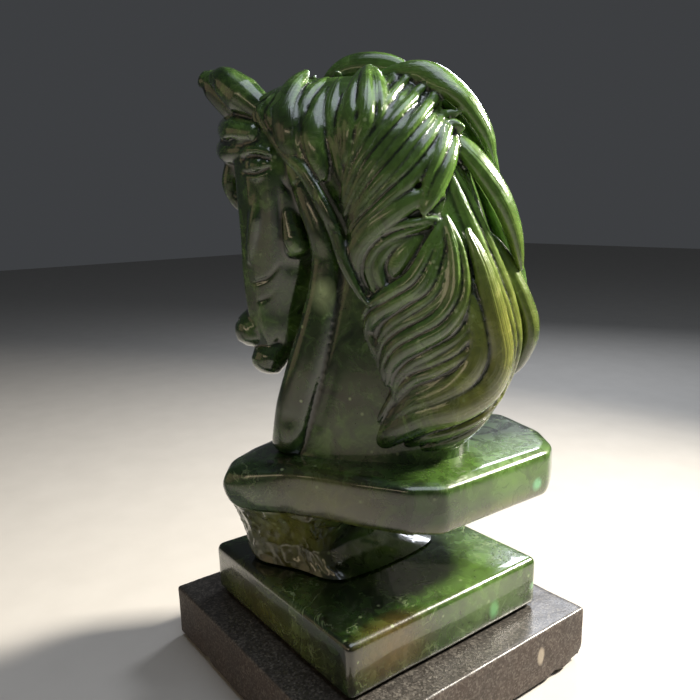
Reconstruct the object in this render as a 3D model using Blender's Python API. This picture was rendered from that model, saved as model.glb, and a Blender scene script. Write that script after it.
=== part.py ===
"""Horse-head bust in green nephrite on a carved stem, a square jade base and a stone plinth.

Metres, +Z up. The origin is the centre of the underside, which the felt sheet forms. The base and
the plinth are square to X and Y. The horse looks along -X and -Y, at HORSE_HEADING.

Sizes below are in millimetres. Tables of the carving are in the horse's own directions: forward
(towards its nose), left, and height above the top of the slab that the neck stands on.
"""

import math

import bmesh
import bpy
import numpy as np
from mathutils import Vector

MM = 0.001

# Stack, from the table up
FELT_THICKNESS = 1.5
FELT_MARGIN = 4.0
PLINTH_MARGIN = 17.0  # ledge of the plinth outside the jade base
PLINTH_HEIGHT = 28.0
PLINTH_EDGE = 2.0
BASE_SIDE = 120.0
BASE_HEIGHT = 26.0
BASE_EDGE = 3.5
STEM_WIDTH = 64.0  # along X, at the foot, and grown about the tie rod
STEM_HEIGHT = 34.0
SLAB_THICKNESS = 24.0
HORSE_HEIGHT = 188.0  # from the slab's top to the highest lock
HORSE_HEADING = 50.0  # degrees, turned from the line through the base's two sides

# Hidden fixings
BED_THICKNESS = 0.4
BED_MARGIN = 4.0
UPPER_BED_MARGIN = 10.0  # between the stem's width and the bedding at its two ends
FIT_GAP = 0.3
ROD_DIAMETER = 8.0
ROD_CLEARANCE = 0.5  # radial
INSERT_WALL = 2.4
INSERT_LENGTH = 24.0
BLIND_HOLE_SPARE = 2.0
WASHER_RIM = 4.5  # beyond the rod
WASHER_THICKNESS = 1.6
NUT_WALL = 2.5  # beyond the rod, at the flats
NUT_HEIGHT = 6.5
ROD_PROUD = 2.0  # rod beyond the nut
COUNTERBORE_CLEARANCE = 3.0
PIN_DIAMETER = 5.0
PIN_LENGTH = 16.0
PIN_CLEARANCE = 0.4  # radial
UPPER_PIN_INSET = 7.0  # from the edge of the upper beddings
BASE_PIN_INSET = 22.0  # from the base's sides
ROD_X = -14.0
ROD_Y = -14.0

# Resolution of the turned and the carved surfaces
ROUND_SIDES = 24
TUBE_SIDES = 10
STEM_SAMPLES = 5  # points between two corners of the stem
CARVING_VOXEL = 2.6
CARVING_KEPT = 0.12  # share of the carved faces that stay

# Heights that follow from the stack
PLINTH_BOTTOM = FELT_THICKNESS + FIT_GAP
PLINTH_TOP = PLINTH_BOTTOM + PLINTH_HEIGHT
BASE_BED_BOTTOM = PLINTH_TOP + FIT_GAP
BASE_BOTTOM = BASE_BED_BOTTOM + BED_THICKNESS + FIT_GAP
BASE_TOP = BASE_BOTTOM + BASE_HEIGHT
STEM_BED_BOTTOM = BASE_TOP + FIT_GAP
STEM_BOTTOM = STEM_BED_BOTTOM + BED_THICKNESS + FIT_GAP
STEM_TOP = STEM_BOTTOM + STEM_HEIGHT
BUST_BED_BOTTOM = STEM_TOP + FIT_GAP
SLAB_BOTTOM = BUST_BED_BOTTOM + BED_THICKNESS + FIT_GAP
SLAB_TOP = SLAB_BOTTOM + SLAB_THICKNESS
PLINTH_SIDE = BASE_SIDE + 2 * PLINTH_MARGIN

# Fits that follow from the sizes above
UPPER_BED_SIDE = STEM_WIDTH - 2 * UPPER_BED_MARGIN
UPPER_PIN_OFFSET = UPPER_BED_SIDE / 2 - UPPER_PIN_INSET  # from the rod's axis, along Y
BASE_PIN_OFFSET = BASE_SIDE / 2 - BASE_PIN_INSET
WASHER_DIAMETER = ROD_DIAMETER + 2 * WASHER_RIM
NUT_ACROSS_FLATS = ROD_DIAMETER + 2 * NUT_WALL

DRAWN_HORSE_HEIGHT = 188.0  # height that the tables below are drawn at
CARVING = HORSE_HEIGHT / DRAWN_HORSE_HEIGHT

# Neck: height, front, back, half width
NECK = [
    (-4, 46, -50, 30), (8, 42, -50, 29), (23, 39, -50, 28.5), (43, 34, -48, 28),
    (63, 28, -46, 27), (83, 22, -46, 26), (98, 20, -46, 25.5), (113, 22, -44, 24.5),
    (128, 27, -40, 23), (143, 31, -36, 22.5), (158, 35, -30, 20), (168, 36, -26, 16),
    (174, 32, -20, 9),
]
NECK_SQUARENESS = 2.6

# Body of the mane, over the back of the neck: height, front, back, half width
MANE = [
    (4, 0, -48, 20), (14, 4, -58, 27), (30, 4, -65, 30), (50, 6, -70, 31),
    (70, 6, -70, 31), (90, 6, -65, 31), (110, 8, -58, 30), (125, 14, -53, 29),
    (140, 20, -47, 28), (155, 26, -40, 25.5), (167, 29, -32, 20), (175, 24, -22, 12),
    (179, 16, -12, 5),
]
MANE_SQUARENESS = 2.5

# Head, in its own directions about HEAD_PIVOT: height, nose line, throat, half width of the nasal
# plane, half width of the cheeks
HEAD = [
    (168, 10, -18, 5, 14), (155, 18, -22, 7, 20), (143, 21, -24, 8, 23),
    (131, 21, -24, 8, 22.5), (117, 20.5, -24, 7.5, 20), (103, 20, -22, 7, 17),
    (90, 20, -20, 6.5, 14.5), (78, 19.5, -16, 6.5, 12.5), (68, 20, -14, 7, 12),
    (58, 22, -12, 8, 12.5), (50, 20, -10, 7, 11), (43, 12, -8, 4, 8),
]
HEAD_PIVOT = 42.0
HEAD_YAW = 20.0  # degrees, turned to the horse's left

# Rounded forms fused into the head and neck: path of (forward, left, height), radius at each point
LIMBS = [
    # muzzle and chin
    ([(58, 1, 58), (62, 3, 57), (64, 4, 55)], [9, 10, 7]),
    ([(42, 1, 46), (49, 4, 41), (52, 5, 39)], [7, 9.5, 7]),
    # cheek muscle
    ([(39, 13, 138), (36, 14, 122), (33, 14, 106), (31, 13, 98)], [3, 6, 8, 6]),
    # cord of the throat, from behind the jaw to the chest
    ([(30, 16, 140), (20, 19, 118), (14, 20, 98), (15, 21, 80), (19, 21, 62), (25, 21, 42),
      (31, 20, 22), (35, 18, 4)], [5, 7, 7.5, 8, 9, 10, 10.5, 10]),
    # ears
    ([(44, 12, 160), (54, 11, 168), (63, 10, 175), (68, 9.5, 177)], [7, 9, 7, 4]),
    ([(52, -12, 158), (66, -12, 168), (77, -11, 177), (82, -10.5, 180)], [8, 10, 8, 5]),
    # forelock
    ([(66, -9, 155), (64, 2, 154), (57, 13, 152), (46, 19, 150)], [6, 7, 7, 5]),
    ([(66, -9, 148), (69, -5, 146), (63, 7, 144), (52, 16, 143)], [4, 6, 6, 4]),
    ([(66, -4, 142), (69, -6, 130), (66, -6, 121), (61, -5, 115)], [4, 5, 4, 2]),
]

# Locks on the mane's left side: path of (forward, height), half width, lift off the mane's body
LEFT_LOCKS = [
    ([(26, 177), (35, 169), (38, 160), (31, 150), (22, 142), (15, 134)], 6, 1),
    ([(24, 182), (25, 171), (27, 160), (25, 150), (17, 140)], 6.5, 2),
    ([(14, 176), (14, 164), (15, 154), (12, 144), (7, 134)], 8.5, 2),
    ([(5, 175), (8, 164), (5, 152), (2, 141), (4, 132)], 5, 2),
    ([(-6, 177), (-2, 166), (0, 156), (-2, 146), (-3, 139)], 7, 3),
    ([(-13, 176), (-9, 166), (-8, 157), (-6, 148), (-3, 139)], 6, 3),
    ([(-22, 167), (-14, 153), (-7, 143), (-2, 132), (2, 121)], 6, 2),
    ([(-28, 165), (-21, 152), (-13, 141), (-5, 129), (1, 114)], 6.5, 2),
    ([(-33, 160), (-28, 149), (-19, 136), (-8, 123), (0, 109)], 7, 2),
    ([(-37, 152), (-33, 140), (-26, 128), (-14, 117), (-4, 106)], 7, 2),
    ([(-38, 145), (-37, 132), (-34, 120), (-30, 111)], 7, 3),
    ([(-31, 109), (-18, 105), (-8, 100), (-2, 90), (-4, 80), (-9, 74)], 5.5, 1),
    ([(-29, 101), (-18, 100), (-11, 94), (-9, 85), (-13, 78)], 5, 0),
    ([(-36, 103), (-31, 90), (-19, 80), (-9, 71), (-8, 61), (-12, 52)], 7, 2),
    ([(-42, 98), (-40, 82), (-28, 72), (-17, 63), (-13, 52), (-14, 45)], 7, 2),
    ([(-48, 88), (-47, 74), (-34, 64), (-23, 57), (-16, 48), (-15, 40)], 7, 2),
    ([(-56, 78), (-53, 64), (-40, 55), (-27, 49), (-18, 42), (-15, 32)], 7, 2),
    ([(-60, 64), (-54, 50), (-40, 42), (-27, 37), (-19, 30), (-14, 22)], 7, 2),
    ([(-62, 52), (-53, 37), (-40, 30), (-29, 25), (-20, 18), (-8, 8)], 7, 2),
    ([(-60, 40), (-52, 27), (-40, 21), (-29, 16), (-18, 9), (-6, 3)], 6.5, 1),
    ([(-55, 28), (-46, 17), (-36, 11), (-26, 6)], 6, 1),
    ([(-40, 112), (-46, 94), (-55, 76), (-61, 58), (-62, 42), (-58, 32)], 8, 3),
]

# Locks on the mane's right side
RIGHT_LOCKS = [
    ([(22, 176), (33, 166), (34, 154), (24, 142), (14, 130)], 7, 1),
    ([(12, 177), (16, 164), (12, 150), (6, 136), (2, 122)], 8, 2),
    ([(-2, 177), (2, 163), (2, 148), (0, 134)], 8, 3),
    ([(-18, 170), (-12, 155), (-6, 140), (0, 124), (-2, 106)], 8, 2),
    ([(-30, 160), (-24, 144), (-14, 128), (-6, 112), (-6, 96)], 8, 2),
    ([(-37, 146), (-32, 128), (-20, 112), (-10, 98), (-8, 82)], 8, 2),
    ([(-42, 126), (-38, 108), (-26, 94), (-14, 82), (-10, 66)], 8, 2),
    ([(-48, 108), (-44, 90), (-32, 76), (-18, 66), (-12, 50)], 8, 2),
    ([(-54, 90), (-50, 72), (-36, 58), (-22, 48), (-14, 32)], 8, 2),
    ([(-58, 72), (-54, 54), (-40, 40), (-26, 30), (-14, 14)], 8, 2),
    ([(-60, 50), (-52, 32), (-38, 22), (-22, 12), (-8, 4)], 7.5, 1),
]

# Rope-like locks down the crest: path of (forward, left, height), half width
CREST_LOCKS = [
    ([(22, -12, 175), (8, -14, 181), (-10, -14, 180), (-24, -12, 174)], 7),
    ([(-8, 6, 174), (-28, 6, 173), (-43, 5, 165), (-55, 3, 149), (-60, 0, 134)], 7.5),
    ([(-34, 12, 154), (-50, 11, 138), (-62, 8, 121), (-69, 4, 104), (-73, 2, 86)], 7.5),
    ([(-38, 19, 138), (-48, 18, 116), (-58, 15, 92), (-66, 12, 72), (-70, 10, 52), (-65, 9, 27)], 8),
    ([(-58, 4, 104), (-67, 0, 88), (-77, -2, 62), (-74, -3, 46), (-67, -4, 34)], 7.5),
    ([(-52, 17, 84), (-61, 15, 68), (-66, 13, 50), (-60, 12, 24)], 7),
    ([(-20, -8, 172), (-40, -10, 162), (-54, -12, 144), (-62, -13, 122)], 8),
    ([(-44, -18, 142), (-56, -17, 120), (-66, -14, 96), (-72, -12, 72), (-68, -12, 46)], 8),
    ([(-52, -22, 110), (-60, -21, 86), (-66, -18, 60), (-62, -16, 30)], 8),
]

# Slab: corners of its widest outline in X and Y, drawn for the carving's own size
SLAB_OUTLINE = [
    (67, -12), (67, 58), (61, 68), (44, 80), (14, 88), (-12, 72), (-34, 46), (-48, 18),
    (-50, -6), (-46, -28), (-38, -50), (-29, -66), (-18, -74), (-8, -68), (3, -56), (18, -46),
    (38, -36), (57, -25),
]
SLAB_ROUNDING = 5.0
# Profile of its side: share of the thickness, inset, and further inset round the nose end
SLAB_PROFILE = [
    (0.0, 5, 17), (0.06, 2.5, 13), (0.2, 0.8, 7), (0.42, 0, 1), (0.62, 0, 0), (0.8, 0.3, 2.5),
    (0.93, 1.5, 7), (1.0, 4.5, 11),
]
SLAB_NOSE = (25, 58)  # where the nose end starts and is full, forward of the middle

# Stem: corners in X and Y at the foot, the waist and the crown, drawn for a width of 64
DRAWN_STEM_WIDTH = 64.0
STEM_FOOT = [(17, -28), (14, 28), (-12, 36), (-38, 22), (-48, -10), (-44, -36), (-30, -52), (-6, -42)]
STEM_WAIST = [(11, -30), (2, 9), (-16, 17), (-36, 8), (-46, -14), (-43, -38), (-33, -54), (-8, -44)]
STEM_CROWN = [(14, -33), (4, 11), (-16, 19), (-36, 8), (-44, -14), (-39, -40), (-26, -58), (-6, -50)]
STEM_LEVELS = [(0.0, 0.0), (0.07, 0.12), (0.18, 0.6), (0.36, 1.0), (0.55, 1.25), (0.75, 1.6),
               (0.9, 1.9), (1.0, 2.0)]  # share of the height, and which outline, 0 to 2


def horse_axes():
    """The horse's forward and left directions."""
    heading = math.radians(HORSE_HEADING)
    forward = Vector((-math.sin(heading), -math.cos(heading), 0))
    left = Vector((math.cos(heading), -math.sin(heading), 0))
    return forward, left


FORWARD, LEFT = horse_axes()
UP = Vector((0, 0, 1))


def carved(forward, left, height):
    """Point in the horse's directions, as a world position in millimetres."""
    flat = (FORWARD * forward + LEFT * left) * CARVING
    return flat + UP * (SLAB_TOP + height * CARVING)


def smooth_path(points, samples):
    """Catmull-Rom curve through the points, with the same number of samples in each stretch."""
    rows = [Vector(p) for p in points]
    rows = [rows[0] * 2 - rows[1]] + rows + [rows[-1] * 2 - rows[-2]]
    curve = []
    for a, b, c, d in zip(rows, rows[1:], rows[2:], rows[3:]):
        for step in range(samples):
            t = step / samples
            curve.append(
                (b * 2 + (c - a) * t + (a * 2 - b * 5 + c * 4 - d) * t * t
                 + (b * 3 - a - c * 3 + d) * t ** 3) * 0.5
            )
    return curve + [rows[-2]]


def add_closed_loft(bm, rings):
    """A closed tube through rings of world points in millimetres, capped at both ends."""
    loops = [[bm.verts.new(point * MM) for point in ring] for ring in rings]
    for lower, upper in zip(loops, loops[1:]):
        for i, corner in enumerate(lower):
            j = (i + 1) % len(lower)
            bm.faces.new((corner, lower[j], upper[j], upper[i]))
    bm.faces.new(list(reversed(loops[0])))
    bm.faces.new(loops[-1])


def squared(angle, half_length, half_width, squareness):
    """Point of a superellipse, as forward and left offsets."""
    c, s = math.cos(angle), math.sin(angle)
    power = 2 / squareness
    return (
        half_length * math.copysign(abs(c) ** power, c),
        half_width * math.copysign(abs(s) ** power, s),
    )


def add_upright_form(bm, sections, squareness):
    rings = []
    for height, front, back, half_width in sections:
        ring = []
        for i in range(2 * TUBE_SIDES):
            forward, left = squared(
                math.pi * i / TUBE_SIDES, (front - back) / 2, half_width, squareness
            )
            ring.append(carved((front + back) / 2 + forward, left, height))
        rings.append(ring)
    add_closed_loft(bm, rings)


def head_point(ahead, aside, height):
    """Point in the turned head's own directions."""
    yaw = math.radians(HEAD_YAW)
    forward = HEAD_PIVOT + ahead * math.cos(yaw) - aside * math.sin(yaw)
    return carved(forward, ahead * math.sin(yaw) + aside * math.cos(yaw), height)


def add_head(bm):
    rings = []
    for height, nose, throat, nasal, cheek in HEAD:
        half = [
            (nose, 0), (nose - 0.5, nasal), (nose - 6, (nasal + cheek) / 2 + 2),
            (nose - 15, cheek), ((nose + throat) / 2 - 4, cheek), (throat + 5, cheek * 0.8),
            (throat, cheek * 0.4),
        ]
        right = [(ahead, -aside) for ahead, aside in reversed(half[1:])]
        rings.append([head_point(a, s, height) for a, s in half + right])
    add_closed_loft(bm, rings)


def add_limb(bm, points, radii):
    """A rounded form along a path, its radius running through the given ones."""
    samples = 4
    path = smooth_path(points, samples)
    sizes = np.interp(np.arange(len(path)) / samples, np.arange(len(radii)), radii)
    rings = []
    for i, centre in enumerate(path):
        along = path[min(i + 1, len(path) - 1)] - path[max(i - 1, 0)]
        across = along.cross(UP if abs(along.normalized().z) < 0.9 else FORWARD).normalized()
        other = along.cross(across).normalized()
        ring = []
        for k in range(TUBE_SIDES):
            angle = 2 * math.pi * k / TUBE_SIDES
            offset = (across * math.cos(angle) + other * math.sin(angle)) * sizes[i]
            ring.append(carved(*(centre + offset)))
        rings.append(ring)
    for end, inward in ((0, 1), (-1, -1)):
        rings[end] = [carved(*path[end]).lerp(p, 0.55) for p in rings[end]]
    add_closed_loft(bm, rings)


def mane_section(height):
    table = np.array(MANE)
    return [float(np.interp(height, table[:, 0], table[:, k])) for k in (1, 2, 3)]


def on_mane(forward, height, side):
    """Where the mane's body has this place on its side, as (forward, left, height)."""
    front, back, half_width = mane_section(height)
    reach = min(abs(2 * forward - front - back) / (front - back), 0.97)
    left = half_width * (1 - reach ** MANE_SQUARENESS) ** (1 / MANE_SQUARENESS)
    return Vector((forward, side * left, height))


def outward(point):
    """Direction out of the mane's body near this point."""
    front, back, half_width = mane_section(point.z)
    half_length = (front - back) / 2
    x = (point.x - (front + back) / 2) / half_length
    y = point.y / half_width
    slope = MANE_SQUARENESS - 1
    return Vector((
        math.copysign(abs(x) ** slope, x) / half_length,
        math.copysign(abs(y) ** slope, y) / half_width,
        0.012 if point.z > 160 else 0.0,
    )).normalized()


def add_lock(bm, points, half_width, lift):
    """A lock of hair: full in the middle, drawn to a blunt tip at each end."""
    path = smooth_path(points, 4)
    rings = []
    for i, centre in enumerate(path):
        t = i / (len(path) - 1)
        fullness = 0.35 + 0.65 * math.sin(math.pi * min(max(t, 0.04), 0.96)) ** 0.6
        along = (path[min(i + 1, len(path) - 1)] - path[max(i - 1, 0)]).normalized()
        out = outward(centre)
        across = along.cross(out).normalized()
        out = across.cross(along).normalized()
        middle = centre + out * lift
        ring = []
        for k in range(TUBE_SIDES):
            angle = 2 * math.pi * k / TUBE_SIDES
            ring.append(carved(*(
                middle + across * (math.cos(angle) * half_width * fullness)
                + out * (math.sin(angle) * half_width * 0.8 * fullness)
            )))
        rings.append(ring)
    add_closed_loft(bm, rings)


def rounded_outline(corners, radius, samples=3):
    """The outline with each corner cut by a short curve."""
    points = []
    count = len(corners)
    for i in range(count):
        before, corner, after = (Vector(corners[(i + k) % count]) for k in (-1, 0, 1))
        reach = min(radius, (before - corner).length / 2.2, (after - corner).length / 2.2)
        start = corner + (before - corner).normalized() * reach
        end = corner + (after - corner).normalized() * reach
        for step in range(samples):
            t = step / (samples - 1)
            points.append(start * (1 - t) ** 2 + corner * 2 * t * (1 - t) + end * t * t)
    return points


def add_slab(bm):
    """The slab under the neck: upright at the back, drawn in below like a bull nose at the front."""
    outline = rounded_outline(SLAB_OUTLINE, SLAB_ROUNDING)
    middle = Vector((0, 4))
    rings = []
    for share, inset, nose_inset in SLAB_PROFILE:
        ring = []
        for corner in outline:
            reach = Vector((corner.x, corner.y, 0)).dot(FORWARD)
            nose = min(max((reach - SLAB_NOSE[0]) / (SLAB_NOSE[1] - SLAB_NOSE[0]), 0), 1)
            draw_in = inset + nose_inset * nose
            flat = corner - (corner - middle).normalized() * draw_in
            ring.append(Vector((
                flat.x * CARVING, flat.y * CARVING, SLAB_BOTTOM + share * SLAB_THICKNESS
            )))
        rings.append(ring)
    add_closed_loft(bm, rings)


def new_object(name, bm, material):
    bmesh.ops.recalc_face_normals(bm, faces=bm.faces)
    mesh = bpy.data.meshes.new(name)
    bm.to_mesh(mesh)
    bm.free()
    obj = bpy.data.objects.new(name, mesh)
    bpy.context.scene.collection.objects.link(obj)
    if material:
        mesh.materials.append(material)
    return obj


def new_material(name, colour, roughness, metallic=0.0):
    material = bpy.data.materials.new(name)
    material.use_nodes = True
    shader = material.node_tree.nodes["Principled BSDF"]
    shader.inputs["Base Color"].default_value = (*colour, 1)
    shader.inputs["Roughness"].default_value = roughness
    shader.inputs["Metallic"].default_value = metallic
    material.diffuse_color = (*colour, 1)
    return material


def shade(obj, degrees=35):
    obj.data.shade_smooth()
    obj.data.set_sharp_from_angle(angle=math.radians(degrees))


def drum(name, material, diameter, bottom, top, x, y, sides=ROUND_SIDES, bore=0.0):
    """An upright cylinder or, with a bore, a tube."""
    def circle(radius, z):
        turn = math.pi / sides
        return [
            Vector((x + radius * math.cos(2 * math.pi * k / sides + turn),
                    y + radius * math.sin(2 * math.pi * k / sides + turn), z))
            for k in range(sides)
        ]

    bm = bmesh.new()
    if not bore:
        add_closed_loft(bm, [circle(diameter / 2, bottom), circle(diameter / 2, top)])
        return new_object(name, bm, material)
    walls = [
        circle(diameter / 2, bottom), circle(diameter / 2, top), circle(bore / 2, top),
        circle(bore / 2, bottom),
    ]
    loops = [[bm.verts.new(point * MM) for point in ring] for ring in walls]
    for ring, following in zip(loops, loops[1:] + loops[:1]):
        for i, corner in enumerate(ring):
            j = (i + 1) % sides
            bm.faces.new((corner, ring[j], following[j], following[i]))
    return new_object(name, bm, material)


def cut(obj, *cutters):
    for cutter in cutters:
        modifier = obj.modifiers.new("Cut " + cutter.name, "BOOLEAN")
        modifier.operation = "DIFFERENCE"
        modifier.solver = "EXACT"
        modifier.object = cutter


def hole(name, diameter, bottom, top, x=ROD_X, y=ROD_Y):
    """A cutter for a round hole."""
    cutter = drum(name, None, diameter, bottom, top, x, y)
    cutter.hide_render = True
    cutter.display_type = "WIRE"
    return cutter


def block(name, material, side, bottom, top, edge, x=0.0, y=0.0, segments=3):
    """A square block with rounded edges."""
    bm = bmesh.new()
    bmesh.ops.create_cube(bm, size=1)
    for corner in bm.verts:
        corner.co = Vector((
            (x + corner.co.x * side) * MM, (y + corner.co.y * side) * MM,
            (bottom + (corner.co.z + 0.5) * (top - bottom)) * MM,
        ))
    obj = new_object(name, bm, material)
    if edge:
        bevel = obj.modifiers.new("Rounded edges", "BEVEL")
        bevel.width = edge * MM
        bevel.segments = segments
    return obj


def rod_hole(name, bottom, top):
    return hole(name, ROD_DIAMETER + 2 * ROD_CLEARANCE, bottom, top)


def pin_hole(name, x, y, bottom, top):
    return hole(name, PIN_DIAMETER + 2 * PIN_CLEARANCE, bottom, top, x, y)


def locating_pin(name, steel, x, y, joint_height):
    """A pin across a joint, and the ends of the hole that it needs."""
    drum(name, steel, PIN_DIAMETER, joint_height - PIN_LENGTH / 2, joint_height + PIN_LENGTH / 2,
         x, y, sides=16)
    spare = PIN_LENGTH / 2 + BLIND_HOLE_SPARE / 2
    return joint_height - spare, joint_height + spare


def keep_outer_skin(bm):
    """Removes the pockets that fusing leaves between forms: every shell but the largest."""
    unseen = set(bm.verts)
    shells = []
    while unseen:
        shell = {unseen.pop()}
        edge_of_shell = set(shell)
        while edge_of_shell:
            near = {e.other_vert(v) for v in edge_of_shell for e in v.link_edges}
            edge_of_shell = near - shell
            shell |= edge_of_shell
        unseen -= shell
        shells.append(shell)
    shells.sort(key=len)
    for shell in shells[:-1]:
        bmesh.ops.delete(bm, geom=list(shell), context="VERTS")


def make_bust(jade):
    bm = bmesh.new()
    add_upright_form(bm, NECK, NECK_SQUARENESS)
    add_upright_form(bm, MANE, MANE_SQUARENESS)
    add_head(bm)
    for points, radii in LIMBS:
        add_limb(bm, points, radii)
    for locks, side in ((LEFT_LOCKS, 1), (RIGHT_LOCKS, -1)):
        for points, half_width, lift in locks:
            add_lock(bm, [on_mane(f, h, side) for f, h in points], half_width, lift)
    for points, half_width in CREST_LOCKS:
        add_lock(bm, points, half_width, 0)
    add_slab(bm)
    forms = new_object("forms", bm, None)
    fuse = forms.modifiers.new("Fuse the forms", "REMESH")
    fuse.mode = "VOXEL"
    fuse.voxel_size = CARVING_VOXEL * MM
    fused = bmesh.new()
    fused.from_object(forms, bpy.context.evaluated_depsgraph_get())
    bpy.data.objects.remove(forms, do_unlink=True)
    keep_outer_skin(fused)
    bust = new_object("horse_bust", fused, jade)
    thin = bust.modifiers.new("Fewer faces", "DECIMATE")
    thin.ratio = CARVING_KEPT
    flat = block("cutter_below_slab", None, 400, SLAB_BOTTOM - 60, SLAB_BOTTOM, 0)
    flat.hide_render = True
    flat.display_type = "WIRE"
    cut(bust, flat)
    return bust


def stem_outline(which):
    """Corners between two of the drawn outlines, as a closed smooth curve."""
    drawn = [STEM_FOOT, STEM_WAIST, STEM_CROWN]
    low = min(int(which), 1)
    share = which - low
    rod = Vector((ROD_X, ROD_Y))
    corners = [
        rod + (Vector(a).lerp(Vector(b), share) - rod) * (STEM_WIDTH / DRAWN_STEM_WIDTH)
        for a, b in zip(drawn[low], drawn[low + 1])
    ]
    curve = smooth_path([(*p, 0) for p in corners[-1:] + corners + corners[:2]], STEM_SAMPLES)
    return curve[STEM_SAMPLES:-STEM_SAMPLES - 1]


def make_stem(jade):
    """A rocky column, broad at the foot, with ridges that lean as they climb."""
    bm = bmesh.new()
    rings = []
    for t, which in STEM_LEVELS:
        rough = 0.0 if t in (0.0, 1.0) else 1.0
        outline = stem_outline(which)
        middle = sum(outline, Vector()) / len(outline)
        ring = []
        for k, point in enumerate(outline):
            angle = 2 * math.pi * k / len(outline)
            ridge = 1 + rough * (
                0.035 * math.sin(7 * angle + 2.6 * t + 0.4)
                + 0.030 * math.sin(11 * angle - 3.1 * t)
            )
            place = middle + (point - middle) * ridge
            ring.append(Vector((place.x, place.y, STEM_BOTTOM + t * STEM_HEIGHT)))
        rings.append(ring)
    add_closed_loft(bm, rings)
    return new_object("carved_stem", bm, jade)


def make_bed(name, material, side, bottom, cutters, x=0.0, y=0.0):
    bed = block(name, material, side, bottom, bottom + BED_THICKNESS, 0, x, y)
    cut(bed, *cutters)


def build():
    for obj in list(bpy.data.objects):
        bpy.data.objects.remove(obj, do_unlink=True)

    jade = new_material("Nephrite, deep green", (0.035, 0.09, 0.02), 0.12)
    base_jade = new_material("Nephrite, mid green", (0.06, 0.16, 0.03), 0.12)
    granite = new_material("Granite, dark grey-brown", (0.10, 0.085, 0.08), 0.4)
    steel = new_material("Stainless steel", (0.55, 0.55, 0.55), 0.3, 1.0)
    brass = new_material("Brass", (0.7, 0.5, 0.2), 0.3, 1.0)
    resin = new_material("Epoxy bedding", (0.02, 0.02, 0.015), 0.6)
    felt = new_material("Wool felt", (0.02, 0.05, 0.03), 0.95)

    bust_pin_low, bust_pin_high = locating_pin(
        "bust_locating_pin", steel, ROD_X, ROD_Y + UPPER_PIN_OFFSET, (STEM_TOP + SLAB_BOTTOM) / 2
    )
    stem_pin_low, stem_pin_high = locating_pin(
        "stem_locating_pin", steel, ROD_X, ROD_Y - UPPER_PIN_OFFSET, (BASE_TOP + STEM_BOTTOM) / 2
    )
    for number, side in ((1, 1), (2, -1)):
        base_pin_low, base_pin_high = locating_pin(
            f"base_locating_pin_{number}", steel, side * BASE_PIN_OFFSET,
            side * BASE_PIN_OFFSET, (PLINTH_TOP + BASE_BOTTOM) / 2,
        )

    insert_diameter = ROD_DIAMETER + 2 * (ROD_CLEARANCE + INSERT_WALL)
    insert_bottom = SLAB_BOTTOM + FIT_GAP
    drum("rod_insert", brass, insert_diameter, insert_bottom, insert_bottom + INSERT_LENGTH,
         ROD_X, ROD_Y, bore=ROD_DIAMETER + 2 * ROD_CLEARANCE)
    counterbore_top = (
        PLINTH_BOTTOM + 3 * FIT_GAP + WASHER_THICKNESS + NUT_HEIGHT + ROD_PROUD
    )
    washer_bottom = counterbore_top - FIT_GAP - WASHER_THICKNESS
    nut_bottom = washer_bottom - FIT_GAP - NUT_HEIGHT
    drum("rod_washer", steel, WASHER_DIAMETER, washer_bottom, washer_bottom + WASHER_THICKNESS,
         ROD_X, ROD_Y, bore=ROD_DIAMETER + 2 * ROD_CLEARANCE)
    nut_corners = NUT_ACROSS_FLATS / math.cos(math.pi / 6)
    nut = drum("rod_nut", steel, nut_corners, nut_bottom, nut_bottom + NUT_HEIGHT, ROD_X, ROD_Y,
               sides=6)
    cut(nut, rod_hole("cutter_nut", nut_bottom - 1, nut_bottom + NUT_HEIGHT + 1))
    rod_top = insert_bottom + INSERT_LENGTH - FIT_GAP
    drum("tie_rod", steel, ROD_DIAMETER, nut_bottom - ROD_PROUD, rod_top, ROD_X, ROD_Y)

    felt_side = PLINTH_SIDE - 2 * FELT_MARGIN
    block("felt_sheet", felt, felt_side, 0, FELT_THICKNESS, 0)

    base_pins = [
        pin_hole(f"cutter_base_pin_{n}", s * BASE_PIN_OFFSET, s * BASE_PIN_OFFSET,
                 base_pin_low, base_pin_high)
        for n, s in ((1, 1), (2, -1))
    ]
    stem_pin = pin_hole("cutter_stem_pin", ROD_X, ROD_Y - UPPER_PIN_OFFSET,
                        stem_pin_low, stem_pin_high)
    bust_pin = pin_hole("cutter_bust_pin", ROD_X, ROD_Y + UPPER_PIN_OFFSET,
                        bust_pin_low, bust_pin_high)
    through = rod_hole("cutter_rod", PLINTH_BOTTOM - 1, SLAB_BOTTOM + 1)

    plinth = block("stone_plinth", granite, PLINTH_SIDE, PLINTH_BOTTOM, PLINTH_TOP, PLINTH_EDGE)
    counterbore = hole("cutter_counterbore", WASHER_DIAMETER + 2 * COUNTERBORE_CLEARANCE,
                       PLINTH_BOTTOM - 1, counterbore_top)
    cut(plinth, through, counterbore, *base_pins)

    base = block("jade_base", base_jade, BASE_SIDE, BASE_BOTTOM, BASE_TOP, BASE_EDGE)
    cut(base, through, stem_pin, *base_pins)

    stem = make_stem(jade)
    cut(stem, through, stem_pin, bust_pin)

    bust = make_bust(jade)
    insert_hole = hole("cutter_insert", insert_diameter + 2 * PIN_CLEARANCE, SLAB_BOTTOM - 1,
                       rod_top + BLIND_HOLE_SPARE)
    cut(bust, insert_hole, bust_pin)

    make_bed("base_bedding", resin, BASE_SIDE - 2 * BED_MARGIN, BASE_BED_BOTTOM,
             [through, *base_pins])
    for name, bottom, pin in (
        ("stem_bedding", STEM_BED_BOTTOM, stem_pin), ("bust_bedding", BUST_BED_BOTTOM, bust_pin)
    ):
        make_bed(name, resin, UPPER_BED_SIDE, bottom, [through, pin], ROD_X, ROD_Y)

    for obj in bpy.context.scene.collection.objects:
        if not obj.hide_render:
            shade(obj)


build()
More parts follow.
